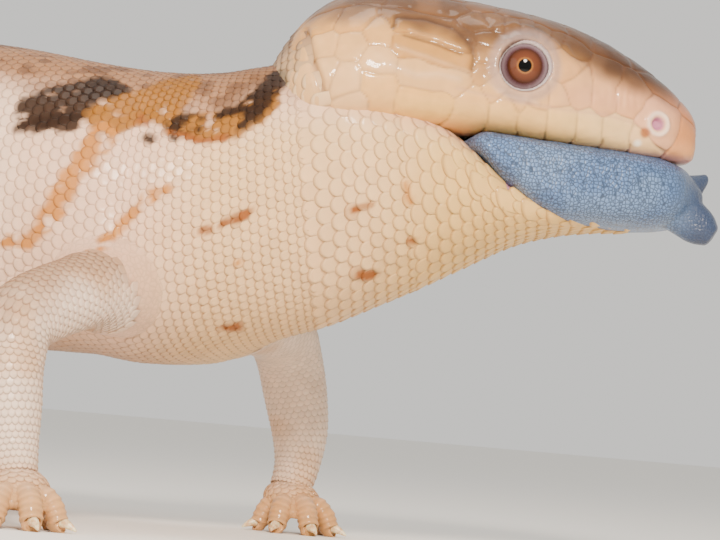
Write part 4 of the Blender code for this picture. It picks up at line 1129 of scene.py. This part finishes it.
# %% Soft shoulders
FILLET_REACH, FILLET_CORE = 8.0, 4.0  # full smoothing this near to leg and trunk, and none beyond the reach
FILLET_STEPS = 30
to_leg = np.abs(np.min([gap_to_leg(places, rows) for rows in LEGS.values()], axis=0))
crease = np.flatnonzero(to_leg < FILLET_REACH)
farther = np.maximum(to_leg[crease], np.abs(gap_to_trunk(places[crease])))
crease_share = smooth(FILLET_REACH, FILLET_CORE, farther)
shoulders = skin.vertex_groups.new(name="shoulders")
for k in range(1, 11):
    shoulders.add(crease[np.round(crease_share * 10) == k].tolist(), k / 10, "REPLACE")
fillet = skin.modifiers.new("soft shoulders", "SMOOTH")
fillet.vertex_group, fillet.factor, fillet.iterations = "shoulders", 0.6, FILLET_STEPS
places, normals = baked(skin)


def nearest_turn(places):
    """The share of a turn at which each place lies on the trunk, from the angle about the trunk's middle line."""
    rows = through(list(TRUNK.values()), np.linspace(0, len(TRUNK) - 1, 400))
    middle_x = (rows[:, 0] + rows[:, 2]) / 2
    order = np.argsort(middle_x)
    widest_z = rows[:, 3] + rows[:, 6] * (rows[:, 1] - rows[:, 3])
    z, y = (np.interp(places[:, 0], middle_x[order], line[order]) for line in (widest_z, rows[:, 4]))
    return (np.arctan2(places[:, 2] - z, places[:, 1] - y) / (2 * np.pi) + 0.25) % 1.0


skin_paint = trunk_colour(places, normals, nearest_turn(places))
to_leg = np.min([gap_to_leg(places, rows) for rows in LEGS.values()], axis=0)
on_leg = smooth(0.6, -0.2, to_leg) * (places[:, 2] < 45)
on_leg = np.maximum(on_leg, smooth(9.0, 7.0, places[:, 2]) * (np.abs(places[:, 0] + 28) < 32))  # the fore feet
skin_paint += (leg_colour(places, normals) - skin_paint) * on_leg[:, None]
mouth = smooth(10.0, 14.0, places[:, 0]) * smooth(54.0, 56.0, places[:, 2]) * smooth(69.0, 67.5, places[:, 2])
# Painted shade: the skin, seen between and under the scales, is painted at 0.9 of the markings' colour; the mouth's
# lilac pink is its own.
paint(skin.data, blend(skin_paint * 0.90, "#c98f9c", mouth))
skin.data.shade_smooth()
print("skin", len(skin.data.polygons), "faces")

# %% [markdown]
# Toes carry single rows of wide plates across the top and soft pads below, so each is a bent tube whose surface
# rises and falls once for each plate. A claw is a curved cone of clear horn.

# %% Toes and claws
TOE_ROWS, TOE_COLUMNS = 44, 22
TOE_PLATE = 0.95  # length of a plate
toe_shells, toe_paint, toe_maps, claw_shells = [], [], [], []
t = np.linspace(0, 4, TOE_ROWS)
for foot, name in enumerate(PALMS):
    for number, (flesh, horn) in enumerate(toe_lines(name)):
        rings = tube(flesh, t, TOE_COLUMNS)
        normal = normals_of(rings)
        run = np.r_[0, np.cumsum(np.linalg.norm(np.diff(rings.mean(1), axis=0), axis=1))][:, None]
        saw = (run / TOE_PLATE) % 1.0
        on_top = normal[..., 2] > -0.1
        ridge = np.where(on_top, 0.22 * saw**1.5, 0.10 * np.sin(run * 6))
        rings = rings + normal * (ridge - 0.05)[..., None]
        shade = 0.80 + 0.25 * saw * on_top
        toe_shells.append(closed_loft(rings))
        toe_paint.append(with_ends(leg_colour(rings, normal) * shade[..., None]))
        round_toe = 0.25 * foot + 0.23 * np.arange(TOE_COLUMNS)[None] / TOE_COLUMNS
        toe_maps.append(with_ends(pairs(0.2 * number + 0.18 * t[:, None] / 4, round_toe)))
        claw_shells.append(closed_loft(tube(horn, np.linspace(0, 4, 14), 12)))
toe_maps = {"OFBake": np.concatenate(toe_maps)}
toes = make_piece("toe_scutes", *joined(toe_shells), np.concatenate(toe_paint), toe_maps)
claws = make_piece("claws", *joined(claw_shells))
print("toes", len(toes.data.polygons), "claws", len(claws.data.polygons))

# %% [markdown]
# The eye is a ball whose map runs from the middle of the pupil outwards, so that one material draws
# pupil, iris and rim as rings. The lids are a ring of fine granules round the opening.

# %% Eyes and lids
def eyeball(name, side, rings=48, spokes=64):
    """A ball about its optical axis: each ring lies at an angle from the axis, from 0 to 180 degrees."""
    angle = np.linspace(0.004, np.pi - 0.004, rings)[:, None]
    spoke = np.linspace(0, 2 * np.pi, spokes, endpoint=False)[None]
    axis = side * np.cos(angle) + 0 * spoke
    out = np.stack([np.sin(angle) * np.cos(spoke), axis, np.sin(angle) * np.sin(spoke)], -1)
    flat, quads, ends = closed_loft(np.array([1, side, 1]) * EYE_CENTRE + EYE_RADIUS * out)
    if side > 0:
        quads, ends = quads[:, ::-1], ends[:, ::-1]
    places = pairs(angle / np.pi, spoke / (2 * np.pi))
    return make_piece(name, flat, quads, ends, maps={"Iris": with_ends(places)})


LID_OPENING, LID_FORWARD = 4.10, 3.0  # radius of the opening, and how far its plane lies outside the eye's centre
LID_WIDE, LID_DEEP = 0.36, 0.50


def lid(name, side, rings=150, columns=26):
    """A ring round the eye's opening: an oval of LID_WIDE by LID_DEEP carried round, thickened by granules."""
    spoke = np.linspace(0, 2 * np.pi, rings, endpoint=False)[:, None]
    section = np.linspace(0, 2 * np.pi, columns, endpoint=False)[None]
    out = np.stack([np.cos(spoke), 0 * spoke, np.sin(spoke)], -1)
    front = np.array([0, side, 0])
    centre = np.array([1, side, 1]) * EYE_CENTRE + front * LID_FORWARD
    opening = LID_OPENING - 0.22 * np.abs(np.sin(spoke))
    ahead = front * (LID_DEEP * np.sin(section))[..., None]
    points = centre + out * (opening + LID_WIDE * np.cos(section))[..., None] + ahead
    bumps = 0.10 * (0.5 - cells(points, 0.55, 51)) + 0.04 * np.sin(spoke * 46) * (np.cos(section) > 0)
    away = out * np.cos(section)[..., None] + front * np.sin(section)[..., None]
    points = points + away * bumps[..., None]
    quads = grid_faces(rings + 1, columns, True) % (rings * columns)
    rim = smooth(0.2, -0.7, np.cos(section)) + 0 * spoke
    colour = layered("#a08c88", ("#c9bbb6", rim * 0.8)) * (1 + 0.5 * bumps)[..., None]
    place = pairs(spoke / 7, section / 7).reshape(-1, 2)
    if side < 0:
        quads = quads[:, ::-1]
    return make_piece(name, points.reshape(-1, 3), quads, (), colour.reshape(-1, 3), {"OFBake": place})


eyes = [eyeball("eyeball_left", 1), eyeball("eyeball_right", -1)]
lids = [lid("lids_left", 1), lid("lids_right", -1)]
print("eyes", [len(eye.data.polygons) for eye in eyes])

# %% [markdown]
# The tongue is one thick muscle that fills the gape and ends in two blunt points.
# Blade and points are remeshed into one surface, smoothed, and covered with fine papillae.

# %% Tongue
TONGUE_POINTS = {  # x, y, z and radius of the middle line, from inside the blade out
    "near": (
        (47.0, -2.6, 59.0, 3.8), (50.6, -3.2, 56.5, 3.4),
        (53.3, -3.7, 54.7, 2.9), (55.0, -4.0, 53.6, 1.7),
    ),
    "far": (
        (47.6, 3.6, 59.6, 3.6), (50.8, 4.2, 61.2, 2.7),
        (53.0, 4.9, 62.6, 1.6), (54.4, 5.4, 63.9, 0.6),
    ),
}
TONGUE_VOXEL = 0.30
blade = sections(TONGUE, np.linspace(0, len(TONGUE) - 1, 80), BELLY_FIRST[:-1:5])
tongue = make_piece("tongue_flesh", *joined([closed_loft(blade)] + [
    closed_loft(tube(rows, np.linspace(0, 3, 24), 32)) for rows in TONGUE_POINTS.values()]))
join_surface(tongue, TONGUE_VOXEL)
tongue.modifiers.new("soften", "SMOOTH").iterations = 14
places, normals = baked(tongue)
towards_tip = smooth(46.0, 53.0, places[:, 0])
on_lip = smooth(37.0, 29.0, places[:, 0]) * smooth(0.2, -0.5, normals[:, 2] + 0.4 * normals[:, 0])
raised = (0.9 * on_lip + 0.10 * noise(places, 2.4, 62) + 0.05 * noise(places, 1.1, 65) * towards_tip)[:, None]
tongue.data.vertices.foreach_set("co", in_frame(places + normals * raised).ravel())
paint(tongue.data, layered(
    "#55739f",
    ("#7590b4", 0.5 * smooth(-0.4, 0.6, noise(places, 4.0, 63))),
    ("#262f48", towards_tip * 0.85),
    ("#c79aa6", smooth(55.6, 57.0, places[:, 0] + 0.6 * noise(places, 1.5, 64)) * 0.6),
))
tongue.data.attributes.new("Smooth", "FLOAT", "POINT").data.foreach_set("value", towards_tip)
tongue.data.shade_smooth()
print("tongue", len(tongue.data.polygons), "faces")


# %% [markdown]
# Materials read the painted attribute and add what is too fine for it. Live reptile skin is keratin, a thin
# clear horn over pigment, so it is satin with a faint clear layer, and a little light passes under it.

# %% Material helpers
def feed(tree, node, links):
    """Joins outputs to a node's sockets, which are given by name or number."""
    for key, source in links.items():
        tree.links.new(source, node.inputs[key])


def add(tree, kind, settings=None, links=None):
    """Adds a node. Settings are sockets by name or number, or properties; links are sockets fed by outputs."""
    made = tree.nodes.new(kind)
    for key, value in (settings or {}).items():
        if isinstance(key, int) or key in made.inputs:
            made.inputs[key].default_value = value
        else:
            setattr(made, key, value)
    feed(tree, made, links or {})
    return made


def remap(tree, value, low, high, start=0.0, end=1.0):
    """A value from start to end, stretched to run from low to high."""
    limits = {"From Min": start, "From Max": end, "To Min": low, "To Max": high}
    return add(tree, "ShaderNodeMapRange", limits, {"Value": value}).outputs[0]


def grain(tree, spot, size, detail=3.0):
    """Noise with grains of a size in metres."""
    settings = {"Scale": 1 / size, "Detail": detail}
    return add(tree, "ShaderNodeTexNoise", settings, {"Vector": spot}).outputs["Fac"]


def cell_border(tree, spot, size, randomness):
    """Distance to the border of irregular cells of a size in metres."""
    settings = {"feature": "DISTANCE_TO_EDGE", "Scale": 1 / size, "Randomness": randomness}
    return add(tree, "ShaderNodeTexVoronoi", settings, {"Vector": spot}).outputs["Distance"]


def scaled(tree, colour, amount):
    """A colour made lighter or darker by an amount."""
    return add(tree, "ShaderNodeVectorMath", {"operation": "SCALE"}, {0: colour, "Scale": amount}).outputs[0]


def bumps(tree, height, strength, distance):
    """A height as small relief."""
    settings = {"Strength": strength, "Distance": distance}
    return add(tree, "ShaderNodeBump", settings, {"Height": height}).outputs[0]


def start_material(name, settings):
    """A material with a Principled shader of these settings, its node tree and that shader."""
    material = bpy.data.materials.new(name)
    material.use_nodes = True
    tree = material.node_tree
    shader = tree.nodes["Principled BSDF"]
    for key, value in settings.items():
        shader.inputs[key].default_value = value
    return material, tree, shader


def painted_material(name, settings):
    """The same with the painted colour and the place on the object, which most materials start from."""
    material, tree, shader = start_material(name, settings)
    colour = add(tree, "ShaderNodeAttribute", {"attribute_name": "Col"}).outputs["Color"]
    return material, tree, shader, colour, add(tree, "ShaderNodeTexCoord").outputs["Object"]


# %% [markdown]
# One set of values stands for the horn of scales and shields. It has little direct shine, as a reptile's dry skin
# has, and each scale's rim along its sides and rear is painted darker, as shade at its free edge.
# A picture of scales would also do from afar, but the rims would blur.

# %% Keratin scales
KERATIN = {
    "Roughness": 0.42, "IOR": 1.45, "Specular IOR Level": 0.15, "Coat Weight": 0.12, "Coat Roughness": 0.08,
    "Subsurface Weight": 0.12, "Subsurface Scale": 0.0012, "Subsurface Radius": (1.0, 0.45, 0.3),
}
WRINKLE = 0.00035  # width of the fine wrinkles in a scale's horn, in metres

# Horn over pigment: satin, with painted shade darkening the rim along each scale's sides and rear.
scale_keratin, tree, shader, colour, spot = painted_material("satin_keratin_scales", KERATIN)
plate = add(tree, "ShaderNodeUVMap", {"uv_map": "Plate"}).outputs["UV"]
split = add(tree, "ShaderNodeSeparateXYZ", links={0: plate})
side = add(tree, "ShaderNodeMath", {"operation": "SUBTRACT", 1: 0.5}, {0: split.outputs["X"]})
side = add(tree, "ShaderNodeMath", {"operation": "ABSOLUTE"}, {0: side.outputs[0]})
side = remap(tree, side.outputs[0], 0.0, 0.40, 0.42, 0.485)
rear = remap(tree, split.outputs["Y"], 0.0, 0.70, 0.88, 0.97)
edge = add(tree, "ShaderNodeMath", {"operation": "MAXIMUM"}, {0: side, 1: rear})
# Painted shade: the colour is multiplied towards a grey brown at the rim.
painted_rim_shade = add(
    tree, "ShaderNodeMix", {"data_type": "RGBA", "blend_type": "MULTIPLY", 7: (*linear("#c8bfb8"), 1)},
    {"Factor": edge.outputs[0], 6: colour})
wrinkles = grain(tree, spot, WRINKLE)
feed(tree, shader, {
    "Base Color": painted_rim_shade.outputs[2],
    "Roughness": remap(tree, wrinkles, 0.32, 0.56),
    "Normal": bumps(tree, wrinkles, 0.10, 0.0002),
})

# %% [markdown]
# Shields, lids and toe plates are the same horn, smoother and with a stronger clear layer, with pores and patches.

# %% Shields, lids and toes
PORE, PATCH = 0.00022, 0.004  # size of pores and of duller and lighter patches, in metres
BARE = {**KERATIN, "Coat Weight": 0.40}

# The same horn without the painted rim shade, with a stronger clear layer, pores and patches.
bare_keratin, tree, shader, colour, spot = painted_material("satin_keratin_shields", BARE)
patch = grain(tree, spot, PATCH)
feed(tree, shader, {
    "Base Color": scaled(tree, colour, remap(tree, patch, 0.86, 1.12)),
    "Roughness": remap(tree, patch, 0.28, 0.50),
    "Normal": bumps(tree, grain(tree, spot, PORE, 4.0), 0.16, 0.0002),
})

# %% [markdown]
# Where a limb folds against the chest the scales shrink to granules under a millimetre. They are the cells of a
# pattern: its distance to the cell's border raises the middle of each and darkens the lines between.

# %% Granular skin of the folds
GRANULE = 0.0010
granular_skin, tree, shader, colour, spot = painted_material("granular_fold_skin", KERATIN)
granule = cell_border(tree, spot, GRANULE, 0.8)
feed(tree, shader, {
    "Base Color": scaled(tree, colour, remap(tree, granule, 0.86, 1.0, 0.0, 0.16)),
    "Normal": bumps(tree, granule, 0.35, 0.0003),
})

# %% [markdown]
# The tongue is wet muscle: a low roughness, a clear film of saliva, and deeper scattering than the skin.

# %% Wet tongue
PAPILLA = 0.00060
WET = {
    "Roughness": 0.38, "IOR": 1.40, "Coat Weight": 0.35, "Coat Roughness": 0.12,
    "Subsurface Weight": 0.15, "Subsurface Scale": 0.0015, "Subsurface Radius": (0.6, 0.6, 0.8),
}
wet_muscle, tree, shader, colour, spot = painted_material("wet_blue_muscle", WET)
papilla = cell_border(tree, spot, PAPILLA, 0.7)
dot = remap(tree, papilla, 0.30, 1.10, 0.02, 0.20)
smoothed = add(tree, "ShaderNodeAttribute", {"attribute_name": "Smooth"}).outputs["Fac"]
even = add(tree, "ShaderNodeMix", {"data_type": "FLOAT", 3: 0.9}, {0: smoothed, 2: dot})
feed(tree, shader, {
    "Base Color": scaled(tree, colour, even.outputs[0]),
    "Normal": bumps(tree, papilla, 0.6, 0.0004),
})

# %% [markdown]
# The eye is a clear cornea over a pigmented iris, drawn by the ball's own map.

# %% Eye and horn
RINGS = (  # share of the way from the pupil's middle to the back of the ball, and the colour there
    (0.0, "#030303"), (0.066, "#040303"), (0.076, "#94602f"), (0.095, "#643824"), (0.150, "#57301f"),
    (0.190, "#3d2116"), (0.205, "#4e3438"), (0.25, "#7a666c"), (0.32, "#4a3c40"),
)
CORNEA = {
    "Roughness": 0.06, "IOR": 1.38, "Specular IOR Level": 0.15, "Coat Weight": 0.2, "Coat Roughness": 0.02,
}
HORN = {"Roughness": 0.30, "IOR": 1.54, "Subsurface Weight": 0.2, "Subsurface Scale": 0.001}


def colour_ramp(tree, value, stops):
    """Colours blended along a value, from stops of position and code."""
    ramp = add(tree, "ShaderNodeValToRGB", links={"Fac": value})
    for k, (position, code) in enumerate(stops):
        stop = ramp.color_ramp.elements[k] if k < 2 else ramp.color_ramp.elements.new(position)
        stop.position, stop.color = position, (*linear(code), 1)
    return ramp.outputs["Color"]


cornea, tree, shader = start_material("wet_cornea_over_iris", CORNEA)
iris_map = add(tree, "ShaderNodeUVMap", {"uv_map": "Iris"}).outputs["UV"]
split = add(tree, "ShaderNodeSeparateXYZ", links={0: iris_map})
streak = grain(tree, iris_map, 1 / 60)
shift = add(tree, "ShaderNodeMath", {"operation": "MULTIPLY_ADD", 1: 0.02, 2: -0.01}, {0: streak})
ring = add(tree, "ShaderNodeMath", {"operation": "ADD"}, {0: split.outputs["X"], 1: shift.outputs[0]})
feed(tree, shader, {"Base Color": colour_ramp(tree, ring.outputs[0], RINGS)})

# Claws are clear horn, streaked from amber to pale cream.
horn_material, tree, shader = start_material("clear_horn", HORN)
streak = grain(tree, add(tree, "ShaderNodeTexCoord").outputs["Object"], 0.0006)
feed(tree, shader, {"Base Color": colour_ramp(tree, streak, ((0.35, "#c89f6c"), (0.65, "#efe0b8")))})

# %% [markdown]
# Each piece now rides on the body and takes its material.

# %% Dress the frame
FLESH = [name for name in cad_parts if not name.startswith("eye") and name != "tongue"]
dressed = [
    (skin, granular_skin, "skin"), (head_piece, bare_keratin, "skin"), (toes, bare_keratin, "skin_foot"),
    *((piece, scale_keratin, "skin") for piece in coat),
    *((piece, bare_keratin, "skin") for piece in lids),
    *((piece, cornea, "eye") for piece in eyes),
    (tongue, wet_muscle, "tongue"), (claws, horn_material, "skin_foot"),
]
for piece, material, slot in dressed:
    piece.data.materials.append(material)
    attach(piece, "root")
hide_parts(*FLESH)
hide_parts("tongue")
for eye, node in zip(eyes, ("eye_left", "eye_right")):
    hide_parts(node)
print("pieces", len(dressed))

# %% [markdown]
# The stage is a wide pale floor of matte paper, so that the shadows show how the feet stand.

# %% Floor
PAPER = "#efece6"
FLOOR_REACH = 6000.0
corners = FLOOR_REACH * np.array([[-1, -1, 0], [1, -1, 0], [1, 1, 0], [-1, 1, 0]])
floor = make_piece("floor", corners, np.array([[0, 1, 2, 3]]))
paper, _, _ = start_material("matte_floor_paper", {"Roughness": 0.9, "Base Color": (*linear(PAPER), 1)})
floor.data.materials.append(paper)

# %% [markdown]
# The camera stands just above the floor, as when the photograph was taken, a little tilted and pointing up.
# Its long lens from half a metre gives the flat perspective of a close portrait.

# %% Camera
DISTANCE, CAMERA_HEIGHT = 520.0, 19.0
FOCAL_PIXELS, PHOTO_WIDTH = 3276.0, 720.0
AIM_PIXELS = 156.0  # how far the picture's middle lies above the horizon
ROLL = math.radians(5.0)
PITCH = math.atan(AIM_PIXELS / FOCAL_PIXELS)
lens = bpy.data.cameras.new("camera")
lens.sensor_width = 36.0
lens.lens = FOCAL_PIXELS / PHOTO_WIDTH * lens.sensor_width
lens.clip_start = 0.02
camera = bpy.data.objects.new("camera", lens)
bpy.context.scene.collection.objects.link(camera)
bpy.context.scene.camera = camera
camera.location = in_frame([0, -DISTANCE, CAMERA_HEIGHT])
camera.rotation_mode = "ZYX"  # the roll turns the camera about its own line of sight, before it is tipped up
camera.rotation_euler = (math.pi / 2 + PITCH, 0, ROLL)
print("lens", round(lens.lens, 1), "mm")

# %% [markdown]
# A warm key lamp stands before the animal's right side, with a wide fill and a lamp from above.
# The pale sky lights the rest evenly, so that no side falls into black.

# %% Lights
def soft_box(name, place, aim, width, power, colour):
    """A round area light at a place in millimetres, turned to face an aim."""
    light = bpy.data.lights.new(name, "AREA")
    light.shape = "DISK"
    light.size = width * MM
    light.energy = power
    light.color = linear(colour)
    box = bpy.data.objects.new(name, light)
    bpy.context.scene.collection.objects.link(box)
    start, end = in_frame(place), in_frame(aim)
    box.location = start
    box.rotation_euler = Vector(end - start).to_track_quat("-Z", "Y").to_euler()


AIM = (-20, 0, 50)  # every lamp faces the chest
soft_box("key", (40, -500, 300), AIM, 110, 5.2, "#fff1e2")
soft_box("fill", (-420, -420, 200), AIM, 400, 1.0, "#fff4e8")
soft_box("top", (-60, 60, 700), AIM, 300, 1.2, "#fff6ea")
world = bpy.data.worlds.new("studio")
world.use_nodes = True
sky = world.node_tree.nodes["Background"].inputs
sky["Color"].default_value, sky["Strength"].default_value = (*linear("#f6f4f0"), 1), 0.95
bpy.context.scene.world = world
